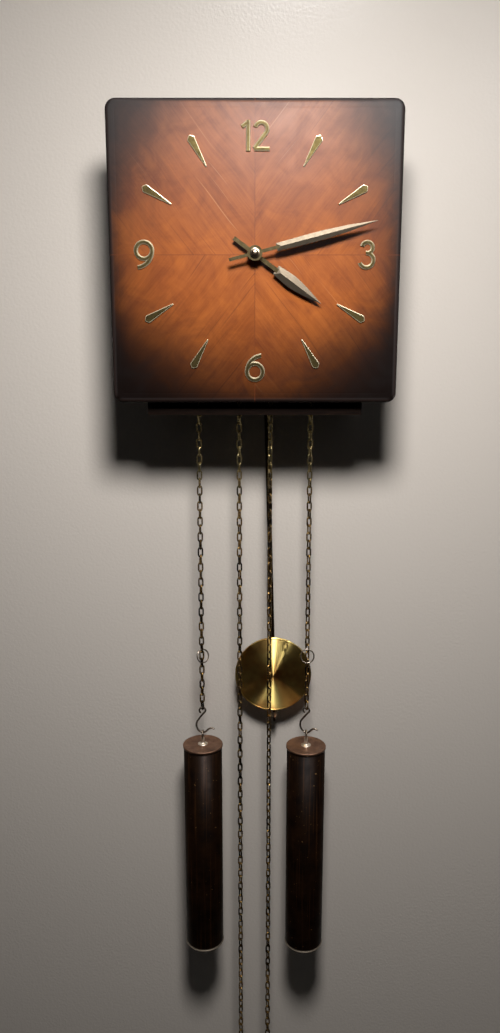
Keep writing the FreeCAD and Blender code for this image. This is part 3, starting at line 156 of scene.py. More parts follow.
class ClockSizes(bpy.types.PropertyGroup):
    """The sizes of the pieces that the operators make."""

    link_pitch: length("Link pitch", "From one link to the next, the link's inside length", 8 * MM)
    link_width: length("Link width", "Outside width of a chain link", 6 * MM)
    link_wire: length("Link wire", "Thickness of the chain wire", 1.75 * MM)
    wheel_radius: length("Chain wheel radius", "Axis of the chain wheel to its links' middle", 20.109 * MM)
    ring_radius: length("Ring radius", "Middle line of the stop and end rings", 7.0 * MM)
    ring_wire: length("Ring wire", "Thickness of the ring wire", 1.4 * MM)
    hook_wire: length("Hook wire", "Thickness of the hook wire", 2.0 * MM)
    face_corner: length("Face corner", "Radius of the face's four corners", 9 * MM)
    face_round: length("Face edge", "Round-over of the face's front edge", 3.6 * MM)
    bead: length("Bead", "Width of the plain border outside the fine line on the face", 8.5 * MM)
    wall_gap: length("Wall gap", "From the back panel to the wall", 0.5 * MM)
    floor_drop: length("Floor", "The floor below the lowest ring", 260 * MM)
    lamp_radius: length("Lamp radius", "Radius of the soft lamp", 85 * MM)


class ClockColours(bpy.types.PropertyGroup):
    """The colours of the clock's finishes and of its stage."""

    veneer: colour("Veneer", "The lacquered veneer in the middle of the face", "#B2642A")
    veneer_dark: colour("Veneer grain", "The dark streaks of the veneer", "#7B3910")
    # the spray's colour, and also the colour that the painted shade at the face's foot darkens towards
    shade: colour("Shaded edge", "The sprayed dark lacquer round the face", "#0C0301")
    bob_brass: colour("Bob brass", "The spun brass of the bob", "#F5DA86")
    chain_brass: colour("Chain brass", "The darkened brass of the chains", "#9A7A48")
    weight_tube: colour("Weight tube", "The black-brown lacquer of the weights' tubes", "#1E1108")
    wall: colour("Wall", "The painted wall behind the clock", "#E5DED7")
    floor: colour("Floor", "The plain pale floor", "#C9C6C1")


# ---- surfaces


def weave(rows, columns, wrap_rows, wrap_columns):
    """Corner numbers of a grid's quads: each joins a point, the next in its row and those two a row on."""
    i = np.arange(rows if wrap_rows else rows - 1)[:, None]
    j = np.arange(columns if wrap_columns else columns - 1)[None, :]
    here, there = i * columns, (i + 1) % rows * columns
    right = (j + 1) % columns
    return np.stack([here + j, here + right, there + right, there + j], axis=-1).reshape(-1, 4)


def face_outwards(mesh):
    """Turns the faces of a closed mesh outwards where its signed volume comes out negative."""
    mesh.calc_loop_triangles()
    co = np.zeros(len(mesh.vertices) * 3)
    mesh.vertices.foreach_get("co", co)
    corners = np.zeros(len(mesh.loop_triangles) * 3, np.int32)
    mesh.loop_triangles.foreach_get("vertices", corners)
    a, b, c = co.reshape(-1, 3)[corners.reshape(-1, 3)].transpose(1, 0, 2)
    if np.einsum("ij,ij->", a, np.cross(b, c)) < 0:
        mesh.flip_normals()


def mesh_piece(name, points, quads, fans=(), uv=None, closed=True):
    """An object at the origin from points, quads and triangles, with an optional UV for each point.

    A closed one is smooth and faces outwards, a sheet is flat.
    """
    mesh = bpy.data.meshes.new(name)
    faces = quads.tolist() + np.asarray(fans).tolist()
    mesh.from_pydata(np.asarray(points, float).reshape(-1, 3), [], faces)
    mesh.polygons.foreach_set("use_smooth", np.full(len(mesh.polygons), closed))
    if uv is not None:
        corners = np.zeros(len(mesh.loops), np.int32)
        mesh.loops.foreach_get("vertex_index", corners)
        layer = mesh.uv_layers.new(name="UVMap")
        layer.data.foreach_set("uv", np.asarray(uv, np.float32).reshape(-1, 2)[corners].ravel())
    mesh.update()
    if closed:
        face_outwards(mesh)
    piece = bpy.data.objects.new(name, mesh)
    bpy.context.scene.collection.objects.link(piece)
    return piece


def swept(path, normal, radius, sides, closed):
    """A round wire: at each point of a flat path, a circle of the radius across the path.

    A point of the circle is the path point plus the radius times the cosine of its angle along the
    path's normal and the sine along the cross of the path's direction and that normal.
    """
    ahead = np.roll(path, -1, axis=0) - np.roll(path, 1, axis=0)
    if not closed:
        ahead[0], ahead[-1] = path[1] - path[0], path[-1] - path[-2]
    ahead /= np.linalg.norm(ahead, axis=1, keepdims=True)
    across = np.cross(ahead, normal)
    turn = np.arange(sides) * 2 * np.pi / sides
    cos, sin = np.cos(turn)[None, :, None], np.sin(turn)[None, :, None]
    return path[:, None, :] + radius * (cos * np.asarray(normal) + sin * across[:, None, :])


def turned(profile, axis, centre, steps):
    """A surface of revolution: each profile point (radius, height) goes round the axis in equal steps.

    About Z the point is (r cos a, r sin a, h); about Y it is (r sin a, h, r cos a); both move by the centre.
    """
    radius, height = np.asarray(profile, float).T
    a = np.arange(steps) * 2 * np.pi / steps
    r, h = radius[:, None], np.broadcast_to(height[:, None], (len(radius), steps))
    cos, sin = np.cos(a)[None, :], np.sin(a)[None, :]
    rings = (r * cos, r * sin, h) if axis == "Z" else (r * sin, h, r * cos)
    return np.stack(rings, axis=-1) + np.asarray(centre)


def closed_ends(points):
    """Points, quads and fans of a tube of rings whose ends are closed by fans round their middles."""
    rows, steps = points.shape[:2]
    ring, last = np.arange(steps), (rows - 1) * steps
    after = (ring + 1) % steps
    fans = np.vstack([np.stack([np.full(steps, rows * steps), after, ring], axis=-1),
                      np.stack([np.full(steps, rows * steps + 1), ring + last, after + last], axis=-1)])
    tips = [points[0].mean(axis=0), points[-1].mean(axis=0)]
    return np.vstack([points.reshape(-1, 3), tips]), weave(rows, steps, False, True), fans


def turned_piece(name, profile, axis, centre, steps):
    """A revolved object with closed poles, from its profile's runs of points.

    Its UV runs along the profile in metres, then once round the axis.
    """
    profile = np.vstack(profile)
    u = np.concatenate([[0], np.cumsum(np.linalg.norm(np.diff(profile, axis=0), axis=1))])
    uv = np.stack(np.broadcast_arrays(u[:, None], np.arange(steps) / steps), axis=-1).reshape(-1, 2)
    uv = np.vstack([uv, [[0, 0], [u[-1], 0]]])
    return mesh_piece(name, *closed_ends(turned(profile, axis, centre, steps)), uv)


def smooth_path(knots, per_span):
    """A Catmull-Rom curve: the cubic between two knots that keeps their neighbours' chord slopes."""
    k = np.vstack([2 * knots[0] - knots[1], knots, 2 * knots[-1] - knots[-2]])
    t = (np.arange(per_span) / per_span)[None, :, None]
    p0, p1, p2, p3 = k[:-3, None], k[1:-2, None], k[2:-1, None], k[3:, None]
    curve = 0.5 * (2 * p1 + (p2 - p0) * t + (2 * p0 - 5 * p1 + 4 * p2 - p3) * t ** 2
                   + (3 * p1 - p0 - 3 * p2 + p3) * t ** 3)
    return np.vstack([curve.reshape(-1, knots.shape[1]), knots[-1:]])


# ---- finishes


def feed(tree, node, inputs):
    """Gives each named socket of a node its value, or joins it to the socket that feeds it."""
    for socket, value in inputs.items():
        if isinstance(value, bpy.types.NodeSocket):
            tree.links.new(value, node.inputs[socket])
        else:
            node.inputs[socket].default_value = value


def add(tree, kind, inputs=None, stops=(), **settings):
    """Adds a node: settings are its fields, inputs what its sockets get, stops its ramp's grey levels."""
    node = tree.nodes.new("ShaderNode" + kind)
    for field, value in settings.items():
        setattr(node, field, value)
    feed(tree, node, inputs or {})
    if stops:
        ramp = node.color_ramp.elements
        while len(ramp) < len(stops):
            ramp.new(1)
        for element, (place, level) in zip(ramp, stops):
            element.position = place
            element.color = (level, level, level, 1)
    return node


# the helpers below add their nodes to the tree of the sockets that they are given


def math_node(operation, *entries, kind="Math", output=0):
    """The result of a Math node, or of its vector kind; each entry is a value or another node's socket."""
    tree = next(entry for entry in entries if isinstance(entry, bpy.types.NodeSocket)).id_data
    return add(tree, kind, dict(enumerate(entries)), operation=operation).outputs[output]


def vector_node(operation, *entries, output="Vector"):
    """The result of a Vector Math node."""
    return math_node(operation, *entries, kind="VectorMath", output=output)


def spread(value, low, high, to_low=0.0, to_high=1.0):
    """A value stretched from one range to another and clamped."""
    return add(value.id_data, "MapRange", {"Value": value, "From Min": low, "From Max": high,
                                           "To Min": to_low, "To Max": to_high}).outputs[0]


def tinted(amount, first, second):
    """A mix of two colours; each is a hex value, a stored colour or another node's socket."""
    first, second = (linear(c) if isinstance(c, str) else c for c in (first, second))
    return add(amount.id_data, "Mix", {0: amount, 6: first, 7: second}, data_type="RGBA").outputs[2]


def noise(place, scale=1.0, detail=2.0, roughness=0.5, distortion=0.0):
    """Noise with so many marks in a unit of the place."""
    return add(place.id_data, "TexNoise", {"Vector": place, "Scale": scale, "Detail": detail,
                                           "Roughness": roughness, "Distortion": distortion}).outputs[0]


def stretched(place, scale, **more):
    """A place counted in marks: so many a metre along all axes or along x, y and z."""
    scale = (scale,) * 3 if isinstance(scale, int) else scale
    return add(place.id_data, "Mapping", {"Vector": place, "Scale": scale, **more}).outputs[0]


def relief(height, depth, strength=1.0):
    """The normal of a surface with this relief, whose depth is in metres."""
    return add(height.id_data, "Bump", {"Height": height, "Distance": depth, "Strength": strength}).outputs[0]


def axis(vector, letter):
    """One part of a vector."""
    return add(vector.id_data, "SeparateXYZ", {0: vector}).outputs[letter]


def facing_back(tree):
    """The Y of the surface's normal: -1 where it faces the viewer, 1 where it faces the wall."""
    return axis(add(tree, "NewGeometry").outputs["True Normal"], "Y")


def new_finish(name):
    """A material with one shader; gives the material, its tree and the place on the object."""
    material = bpy.data.materials.new(name)
    material.use_nodes = True
    tree = material.node_tree
    tree.nodes.clear()
    shader = add(tree, "BsdfPrincipled")
    add(tree, "OutputMaterial", {"Surface": shader.outputs["BSDF"]})
    return material, tree, add(tree, "TexCoord").outputs["Object"]


def dressed(material, colour, roughness, normal=None, metallic=0.0, specular=0.5, **more):
    """The material, once its shader's sockets have these values or are joined to what feeds them."""
    tree = material.node_tree
    shader = tree.nodes["Principled BSDF"]
    if normal:
        tree.links.new(normal, shader.inputs["Normal"])
    feed(tree, shader, {"Base Color": colour, "Roughness": roughness, "Metallic": metallic,
                        "Specular IOR Level": specular, **more})
    return material


def metal(name, clean_metal_and_painted_glint, dull, roughness, streak, depth=2e-6, metallic=1.0, patch=9):
    """A bare metal whose clean and dull colours mix in patches some millimetres wide.

    roughness is the clean and the dull surface's; streak is how many marks a metre, along all axes or along
    x, y and z; depth is the depth of those marks in metres; patch is the width of a patch in millimetres.
    """
    material, _, place = new_finish(name)
    patches = noise(place, 1000 / patch, detail=4.0, roughness=0.6)
    marks = noise(stretched(place, streak))
    return dressed(material, tinted(spread(patches, 0.36, 0.66), clean_metal_and_painted_glint, dull),
                   spread(patches, 0.3, 0.7, *roughness), relief(marks, depth), metallic)


def applied_brass(name, face, edge, lean, roughness, edge_metallic=1.0):
    """Stamped brass with a dulled flat face and brighter slopes, whose pale, part-matt colour is also a
    painted highlight.

    The mix runs between the two values of lean, the Y of the normal; roughness is face and slope.
    """
    material, tree, place = new_finish(name)
    patches = noise(place, 260.0, detail=4.0, roughness=0.6)
    slope = spread(facing_back(tree), *lean)
    dulled = tinted(spread(patches, 0.35, 0.68), *face)
    uneven = spread(patches, 0.3, 0.7, roughness[0] - 0.05, roughness[0] + 0.05)
    # the slopes take the paler edge colour whichever way they face: a painted highlight on the numerals, and
    # painted highlight and shade on the hands
    return dressed(material, tinted(slope, dulled, edge),
                   math_node("MULTIPLY_ADD", slope, roughness[1] - roughness[0], uneven),
                   metallic=math_node("MULTIPLY_ADD", slope, edge_metallic - 1, 1.0))


def board_finish(name, light, dark, roughness, grain, depth):
    """A plain stained board whose grain runs along the axis with the smallest number of marks a metre."""
    material, _, place = new_finish(name)
    pores = noise(stretched(place, grain), detail=4.0, distortion=0.3)
    return dressed(material, tinted(spread(pores, 0.35, 0.68), light, dark), roughness,
                   relief(pores, depth, 0.7), specular=0.06)


GRAIN_ANGLE = 52
# how much of the veneer's colour the dark spray and the painted shade leave, by the distance from the dial's
# middle in half faces; towards the corners it is the product of the distances across and up. The spray round
# the edge is the lacquer's own; the steeper fall at the foot and the milder one at the head are painted shade
# and sheen
SPRAY_AND_PAINTED_SHADE = {"sides": ((0.50, 1.0), (0.66, 0.90), (0.80, 0.72), (0.88, 0.50), (0.93, 0.26), (0.975, 0.08)),
         "foot": ((0.20, 1.0), (0.36, 0.94), (0.55, 0.76), (0.73, 0.48), (0.85, 0.32), (0.95, 0.12)),
         "corners": ((0.18, 1.0), (0.30, 0.82), (0.42, 0.48), (0.55, 0.24), (0.70, 0.09), (0.88, 0.02)),
         "head": ((0.0, 1.0), (0.25, 0.88), (0.54, 0.80), (0.73, 0.76), (0.92, 0.62), (0.97, 0.45))}


def veneer_finish(colours):
    """Quarter-matched veneer under a sprayed, shaded satin lacquer.

    The grain of each quarter runs towards the middle and is mirrored at the seams. The dark spray and the
    painted
    shade are a product of four falls: towards the sides, the foot, the corners and the head. The spray is the
    lacquer's own; its being darker at the foot and lighter at the head is painted shade.
    """
    material, tree, place = new_finish("Quarter-matched veneer, shaded satin lacquer")
    dial = vector_node("ADD", place, (0, 0, -DIAL_Z))
    mirrored = vector_node("ABSOLUTE", dial)
    # the grain of a quarter, bent by 6 mm at most, and each quarter cut from another stretch of the sheet
    bend = add(tree, "TexNoise", {"Vector": dial, "Scale": 9.0, "Detail": 1.0}).outputs["Color"]
    shift = vector_node("MULTIPLY", vector_node("SUBTRACT", bend, (0.5,) * 3), (12 * MM,) * 3)
    bent = vector_node("ADD", mirrored, shift)
    bent = stretched(bent, (1, 0, 1), Rotation=(0, math.radians(GRAIN_ANGLE), 0))
    signs = vector_node("SIGN", dial)
    quarter = vector_node("DOT_PRODUCT", signs, (0.31, 0, 0.17), output="Value")
    along = vector_node("ADD", bent, add(tree, "CombineXYZ", {"Y": quarter}).outputs[0])
    # pores 1 mm wide and 38 mm long, streaks 10 mm wide, a mottle 24 mm across and clouds 70 mm across
    pores = noise(stretched(along, (26, 40, 1000)), detail=3.0, roughness=0.6)
    bands = noise(stretched(along, (11, 20, 95)), detail=4.0, distortion=0.8)
    mottle = noise(dial, 42.0, detail=5.0, roughness=0.62, distortion=0.9)
    clouds = noise(dial, 14.0, detail=3.0)
    darkness = 0.0
    for pattern, low, high, share in ((pores, 0.4, 0.75, 0.26), (bands, 0.34, 0.7, 0.34),
                                      (mottle, 0.36, 0.68, 0.42), (clouds, 0.35, 0.7, 0.18)):
        darkness = math_node("MULTIPLY_ADD", spread(pattern, low, high), share, darkness)
    wood = tinted(darkness, colours.veneer, colours.veneer_dark)
    # a few long cracks and rubbed lines along the grain: dark ones and pale ones
    cracks = noise(stretched(along, (8, 30, 520), Location=(3, 0, 7)), detail=1.0)
    wood = tinted(spread(cracks, 0.70, 0.76, 0.0, 0.42), wood, "#5A2A12")
    wood = tinted(spread(cracks, 0.27, 0.23, 0.0, 0.34), wood, "#DDA070")
    # the dark spray and the painted shade, uneven by the mottle and the clouds
    across = math_node("MULTIPLY", axis(mirrored, "X"), 1 / HALF_FACE)
    upright = math_node("MULTIPLY", axis(dial, "Z"), 1 / HALF_FACE)
    height = math_node("ABSOLUTE", upright)
    uneven = math_node("ADD", spread(mottle, 0.3, 0.7, -0.014, 0.014),
                       spread(clouds, 0.3, 0.7, -0.018, 0.018))
    at_corners = math_node("MULTIPLY_ADD", across, height, uneven)
    at_sides = math_node("ADD", across, uneven)
    # the upright terms darken the foot and spare the head: painted shade from a lamp above, on top of the
    # spray
    reach = {"sides": math_node("MULTIPLY_ADD", upright, -0.035, at_sides),
             "foot": math_node("MULTIPLY_ADD", upright, -1.0, uneven),
             "corners": math_node("MULTIPLY_ADD", upright, -0.14, at_corners),
             "head": math_node("ADD", upright, uneven)}
    kept_under_spray_and_painted_shade = 1.0
    for way, stops in SPRAY_AND_PAINTED_SHADE.items():
        kept_under_spray_and_painted_shade = math_node("MULTIPLY", kept_under_spray_and_painted_shade, add(tree, "ValToRGB", {0: reach[way]}, stops).outputs[0])
    # the rounded edge and the sides are sprayed nearly black, the back has only a dark stain
    farthest = math_node("MAXIMUM", across, height)
    coloured = tinted(kept_under_spray_and_painted_shade, colours.shade, wood)
    coloured = tinted(spread(farthest, 0.970, 0.982), coloured, "#1E0F0A")
    coloured = tinted(spread(facing_back(tree), 0.2, 0.6), coloured, "#1C120C")
    # a hairline joint at each seam
    nearest = math_node("MINIMUM", axis(mirrored, "X"), axis(mirrored, "Z"))
    coloured = tinted(spread(nearest, 0.12 * MM, 0.6 * MM, 0.55, 0.0), coloured, "#6A3418")
    # satin: it mirrors broadly, and the sprayed edge more broadly still
    satin = spread(mottle, 0.3, 0.7, 0.32, 0.38)
    rough = math_node("MULTIPLY_ADD", spread(farthest, 0.965, 0.98), 0.4, satin)
    return dressed(material, coloured, rough, relief(pores, 5e-5, 0.5), specular=0.28, IOR=1.45)


def spun_brass(colours):
    """Spun and lacquered brass: fine turning rings smear a lamp into two bright fans through the middle."""
    material, tree, place = new_finish("Spun lacquered brass")
    uv = add(tree, "UVMap", uv_map="UVMap").outputs[0]
    rings = noise(stretched(uv, (3000, 4, 1)))
    stains = noise(place, 34.0, detail=3.0)
    around = add(tree, "Tangent", direction_type="UV_MAP", uv_map="UVMap").outputs[0]
    return dressed(material, tinted(spread(stains, 0.42, 0.70), colours.bob_brass, "#B87838"),
                   spread(rings, 0.3, 0.7, 0.35, 0.41), metallic=1.0, Tangent=around, Anisotropic=1.0)


def chain_finish(colours):
    """Darkened brass wire: spotted, each link in its own tone, and painted pale gold just below the case as a
    painted glint.
    """
    material, tree, place = new_finish("Darkened chain brass")
    tone = add(tree, "Attribute", attribute_name="link_tone").outputs["Fac"]
    spots = noise(place, 700.0)
    bright = spread(math_node("MULTIPLY_ADD", spots, 0.5, tone), 0.3, 1.2)
    # a painted glint: the links that hang in the case's shadow just below it are painted pale gold
    clean_metal_and_painted_glint = spread(axis(place, "Z"), CASE_FLOOR - 85 * MM, CASE_FLOOR - 10 * MM, 0.0, 0.8)
    return dressed(material, tinted(clean_metal_and_painted_glint, tinted(bright, "#20180F", colours.chain_brass), "#EEDCA4"),
                   spread(spots, 0.0, 1.0, 0.20, 0.36), metallic=1.0)


FOOT_PALE_BAND = (24.0 * MM, 24.7 * MM)  # along a tube's profile, from the middle of its foot


def tube_finish(colours):
    """Brass tube under black-brown lacquer: stained, streaked upright, worn in specks, and painted pale in a
    band round its foot rim.
    """
    material, tree, place = new_finish("Black-brown lacquered tube")
    patches = noise(place, 60.0, detail=5.0, roughness=0.62)
    specks = noise(place, 420.0)
    marks = noise(stretched(place, (500, 500, 9)), detail=3.0)
    profile = axis(add(tree, "UVMap", uv_map="UVMap").outputs[0], "X")
    tint = tinted(spread(patches, 0.38, 0.64), colours.weight_tube, "#0E0603")
    tint = tinted(spread(marks, 0.55, 0.75, 0.0, 0.45), tint, "#4A2E1A")
    tint = tinted(spread(specks, 0.72, 0.79), tint, "#8A6840")
    # a pale band painted round the rolled foot rim
    tint = tinted(spread(profile, *FOOT_PALE_BAND, 0.6, 0.0), tint, "#A09484")
    return dressed(material, tint, spread(patches, 0.3, 0.7, 0.32, 0.46), relief(marks, 6e-6, 0.5),
                   metallic=0.14, specular=0.045)


def cast_iron():
    """Rough cast iron, dark grey with a sandy skin."""
    material, _, place = new_finish("Cast iron skin")
    sand = noise(place, 900.0, detail=4.0)
    return dressed(material, tinted(sand, "#2E2C2B", "#4A4745"), 0.7, relief(sand, 1.2e-4, 0.7),
                   metallic=0.6)


def finish_table(colours):
    """Every finish by its slot, and the post's beside them."""
    return {
        "face_veneer": veneer_finish(colours),
        # thin sheet brass, stamped and bronzed: dark warm olive faces with bright bevels; the bevels' pale,
        # half-matt colour is a painted highlight besides the bright brass
        "dial_brass": applied_brass("Aged stamped brass", ("#4E4429", "#352C1A"), "#CFC2A4",
                                    (-0.985, -0.96), (0.48, 0.32), 0.5),
        # formed brass, chemically bronzed: its sloped facets painted paler as a painted highlight and its
        # flat stems darker as painted shade
        "hand_brass": applied_brass("Bronzed hand brass", ("#4E4430", "#3A311F"), "#5E5447",
                                    (-0.9995, -0.99), (0.46, 0.44)),
        # turned and polished brass: a small bright spot on a dome
        "nut_brass": metal("Turned bright brass", "#C9B7A0", "#9C8468", (0.24, 0.34), 2000),
        # beech boards stained black-brown, their grain level: nearly no sheen
        "case_wood": board_finish("Black-stained beech", "#1A100B", "#0D0705", 0.6, (60, 60, 900), 6e-5),
        # pressed hardboard: matt brown felt of fibres
        "back_board": board_finish("Pressed hardboard", "#6A4A32", "#553A26", 0.78, 500, 1e-4),
        # hanger plate and screws: zinc plate with its faint cloudy bloom
        "zinc_steel": metal("Zinc-plated steel", "#B4B8BC", "#8D9196", (0.34, 0.48), 600, 4e-6, patch=4),
        # rolled clock brass with its fine vertical grain
        "plate_brass": metal("Rolled plate brass", "#CBA75A", "#A98645", (0.28, 0.38), (1500, 1500, 60),
                             4e-6),
        # cut wheels, turned faces left bright
        "wheel_brass": metal("Cut wheel brass", "#D0AC5E", "#AC8A48", (0.24, 0.36), 1200, 3e-6),
        # ground steel arbors: a thin bright line along each
        "arbor_steel": metal("Ground arbor steel", "#A8A9AB", "#7F8082", (0.24, 0.34), (80, 2500, 2500)),
        # drawn gong rods, blued by heat
        "gong_steel": metal("Blued gong rod steel", "#4E525C", "#33363E", (0.26, 0.36), (2500, 2500, 50)),
        "gong_iron": cast_iron(),
        # flat pendulum rod, dark bronzed
        "rod_steel": metal("Bronzed rod steel", "#3A2A1C", "#241910", (0.34, 0.46), (1500, 1500, 60)),
        "bob_brass": spun_brass(colours),
        "weight_brass": tube_finish(colours),
        # weight lids: brown patinated disc
        "cap_brass": metal("Patinated lid brass", "#84634D", "#624637", (0.44, 0.56), 1400, 5e-6,
                           metallic=0.7),
        "weight_iron": cast_iron(),
        "chain_brass": chain_finish(colours),
        # nickelled ring wire, pale against the dark chain
        "ring_steel": metal("Nickelled ring wire", "#9A8E80", "#4E443A", (0.26, 0.36), 1500, patch=3),
        # posts of the weights: turned steel, brighter than the lid below it
        "post_steel": metal("Turned post steel", "#DDD0C0", "#A89A8A", (0.34, 0.44), 1500, metallic=0.8,
                            patch=3),
    }


FINISHES = {}


def wear(piece, slot_name, finish_name=None):
    """Gives a piece the finish of its slot, or another finish by name, and returns the piece."""
    piece.data.materials.clear()
    piece.data.materials.append(FINISHES[finish_name or slot_name])
    return piece


# ---- chains

HALF_CIRCLE_POINTS = 5
WIRE_SIDES = 5
CHAIN_SEED = 7
LOOSENESS = 3.5  # how far a link turns on its own, in degrees, as a standard deviation
WHEEL_STEP = 22.5  # degrees from link to link round a chain wheel
OUTER_WHEEL_LINKS, INNER_WHEEL_LINKS = 4, 3
LINKS_BELOW_STOP = 9  # links of the weight's strand below its stop ring
FREE_STRAND_START = 14  # the free strand's first link below the case floor, counted from the wheel


def link_shape(sizes):
    """One upright link in the XZ plane, as rings of points round its wire.

    Its middle line is two straight sides and two half circles, each half circle in four chords.
    """
    bend = (sizes.link_width - sizes.link_wire) / 2
    straight = (sizes.link_pitch + sizes.link_wire) / 2 - bend
    a = np.linspace(0, np.pi, HALF_CIRCLE_POINTS)
    top = np.stack([bend * np.cos(a), np.zeros(len(a)), straight + bend * np.sin(a)], axis=-1)
    return swept(np.vstack([top, -top]), LEVEL_AXIS, sizes.link_wire / 2, WIRE_SIDES, True)


def turns(degrees, first, second):
    """Turning matrices that carry one axis towards another, one for each angle."""
    a = np.radians(degrees)
    matrices = np.tile(np.eye(3), (len(a), 1, 1))
    matrices[:, first, first] = matrices[:, second, second] = np.cos(a)
    matrices[:, second, first], matrices[:, first, second] = np.sin(a), -np.sin(a)
    return matrices


def links_piece(name, sizes, draw, k, x, z, lean, strand_turn=0.0, drop=0.0):
    """The links numbered k, in the chain's finish.

    Each is the link shape, turned on edge if its number is even, by the strand's turn and by a loose turn in
    degrees, then leaned and moved to its x and z; a drop packs them into the case.
    """
    shape = link_shape(sizes)
    rings, sides = shape.shape[:2]
    count = len(k)
    spin = turns(np.where(k % 2 == 0, 90.0, 0.0) + strand_turn + draw.normal(0, LOOSENESS, count), 0, 1)
    centres = np.stack(np.broadcast_arrays(x, CHAIN_Y, z), axis=-1)[:, None, :]
    points = np.einsum("nij,pj->npi", turns(lean, 0, 2) @ spin, shape.reshape(-1, 3)) + centres
    if drop:
        points[..., 2] = packed_in_case(points[..., 2], drop)
    one = weave(rings, sides, True, True)
    quads = (one[None] + np.arange(count)[:, None, None] * rings * sides).reshape(-1, 4)
    piece = mesh_piece(name, points, quads)
    tone = piece.data.attributes.new("link_tone", "FLOAT", "POINT")
    tone.data.foreach_set("value", np.repeat(draw.random(count), rings * sides).astype(np.float32))
    return wear(piece, "chain_brass")


def wheel_links(name, sizes, draw, side, outer):
    """The links that lie on a chain wheel, from its top to its outer or inner side."""
    k = np.arange(OUTER_WHEEL_LINKS if outer else INNER_WHEEL_LINKS, 0, -1)
    a = np.radians(k * WHEEL_STEP)
    out = side if outer else -side
    radius = sizes.wheel_radius
    x = side * (OUTER_X - radius) + out * radius * np.cos(a)
    return links_piece(name, sizes, draw, k, x, WHEEL_Z + radius * np.sin(a), out * k * WHEEL_STEP)


# how far each strand has turned about its length: degrees at the case floor, the weights' lids and the foot
TWISTS = {("left", "weight"): (10, 28, 28), ("right", "weight"): (20, 42, 42),
          ("left", "free"): (22, 24, 42), ("right", "free"): (40, 45, 20)}
TWIST_DEPTHS = (-CASE_FLOOR, -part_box("weight_cap_left")[0].z, -CAD_BOX[0].z)


def strand_links(name, sizes, draw, x, first, count, strand=None, drop=0.0):
    """The links of a straight strand from link number first, with the strand's own turn."""
    k = first + np.arange(count)
    z = WHEEL_Z - k * sizes.link_pitch
    turn = np.interp(-z, TWIST_DEPTHS, TWISTS[strand]) if strand else 0.0
    return links_piece(name, sizes, draw, k, x, z - drop, np.zeros(count), turn, drop)


def packed_in_case(z_drawn, drop):
    """Where the points of a fully drawn chain lie at rest.

    A point at rest height z goes to z minus the drop times the smooth step from the wheel to the case
    floor; the rest heights are read back from a table of that rising map.
    """
    rest = np.linspace(CASE_FLOOR - 20 * MM, WHEEL_Z, 4000)
    t = np.clip((WHEEL_Z - rest) / (WHEEL_Z - CASE_FLOOR), 0, 1)
    return np.interp(z_drawn, rest - drop * t * t * (3 - 2 * t), rest)


class CLOCK_OT_chains(bpy.types.Operator):
    """Makes the link chains: the strands that carry the weights and the free ends, as round-wire links."""

    bl_idname = "clock.chains"
    bl_label = "Chains"

    def execute(self, context):
        sizes = context.scene.clock_sizes
        pitch = sizes.link_pitch
        draw = np.random.default_rng(CHAIN_SEED)
        limits = {j["name"]: j for j in frame["joints"]}
        for name, side in SIDES.items():
            outer_x, inner_x = side * OUTER_X, side * INNER_X
            hanging, free = (round((WHEEL_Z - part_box(f"chain_{strand}_{name}")[0].z) / pitch)
                             for strand in ("hanging", "free"))
            # the links on the wheel stay with the case
            for where in ("outer", "inner"):
                piece = wheel_links(f"wheel_links_{where}_{name}", sizes, draw, side, where == "outer")
                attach(piece, "case")
            # the weight's strand, down to its stop ring, is left in place without a parent; the links below
            # the ring go with the weight
            stop = hanging - LINKS_BELOW_STOP
            strand = strand_links(f"weight_strand_{name}", sizes, draw, outer_x, 0, stop, (name, "weight"))
            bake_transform(strand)
            foot = strand_links(f"weight_strand_foot_{name}", sizes, draw, outer_x, stop, LINKS_BELOW_STOP,
                                (name, "weight"))
            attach(foot, f"weight_{name}")
            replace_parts(strand, f"chain_hanging_{name}")
            # the free end hangs rigidly below the case; what it draws out waits packed in the case
            start = FREE_STRAND_START
            hang = strand_links(f"free_strand_{name}", sizes, draw, inner_x, start, free - start,
                                (name, "free"))
            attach(hang, f"chain_free_{name}")
            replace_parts(hang, f"chain_free_{name}")
            drop = -limits[f"chain_free_{name}_drop"]["range_m"][0]
            spare = round(drop / pitch) + start
            slack = strand_links(f"free_strand_slack_{name}", sizes, draw, inner_x, start - spare, spare,
                                 drop=drop)
            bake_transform(slack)
        return {"FINISHED"}


# ---- rings, hooks and lids

POLE = 0.02  # where a turned profile starts or ends, in mm from its axis
TUBE_STEPS, POST_STEPS, RING_STEPS = 96, 32, 48
RING_SIDES = 8
STOP_RING_LEAN = 17
STOP_RING_TURNS = {"left": 38, "right": 0}
# a hook's middle line in mm above its lowest point: an eye of 300 degrees, then the bow
HOOK_TURNS = {"left": 0, "right": -14}
HOOK_FOOT = 1.14 * MM
HOOK_EYE_RADIUS, HOOK_EYE_HEIGHT = 3.2, 25.8
HOOK_BOW = ((-3.5, 16.4), (-6.1, 12.4), (-6.5, 8), (-4.7, 3.2), (0, 0),
            (3.4, 1.5), (6.4, 4.4), (9.4, 5.4), (12.6, 4.2))


def arc(centre, radius, first, last, count):
    """Points of a circle's arc from one angle to another, in degrees from the first axis."""
    a = np.radians(np.linspace(first, last, count))
    return np.stack([centre[0] + radius * np.cos(a), centre[1] + radius * np.sin(a)], axis=-1)


def offsets(radius, height, *pairs):
    """Points of a profile by their distances in mm from a radius and a height."""
    return np.array(pairs) * MM + (radius, height)


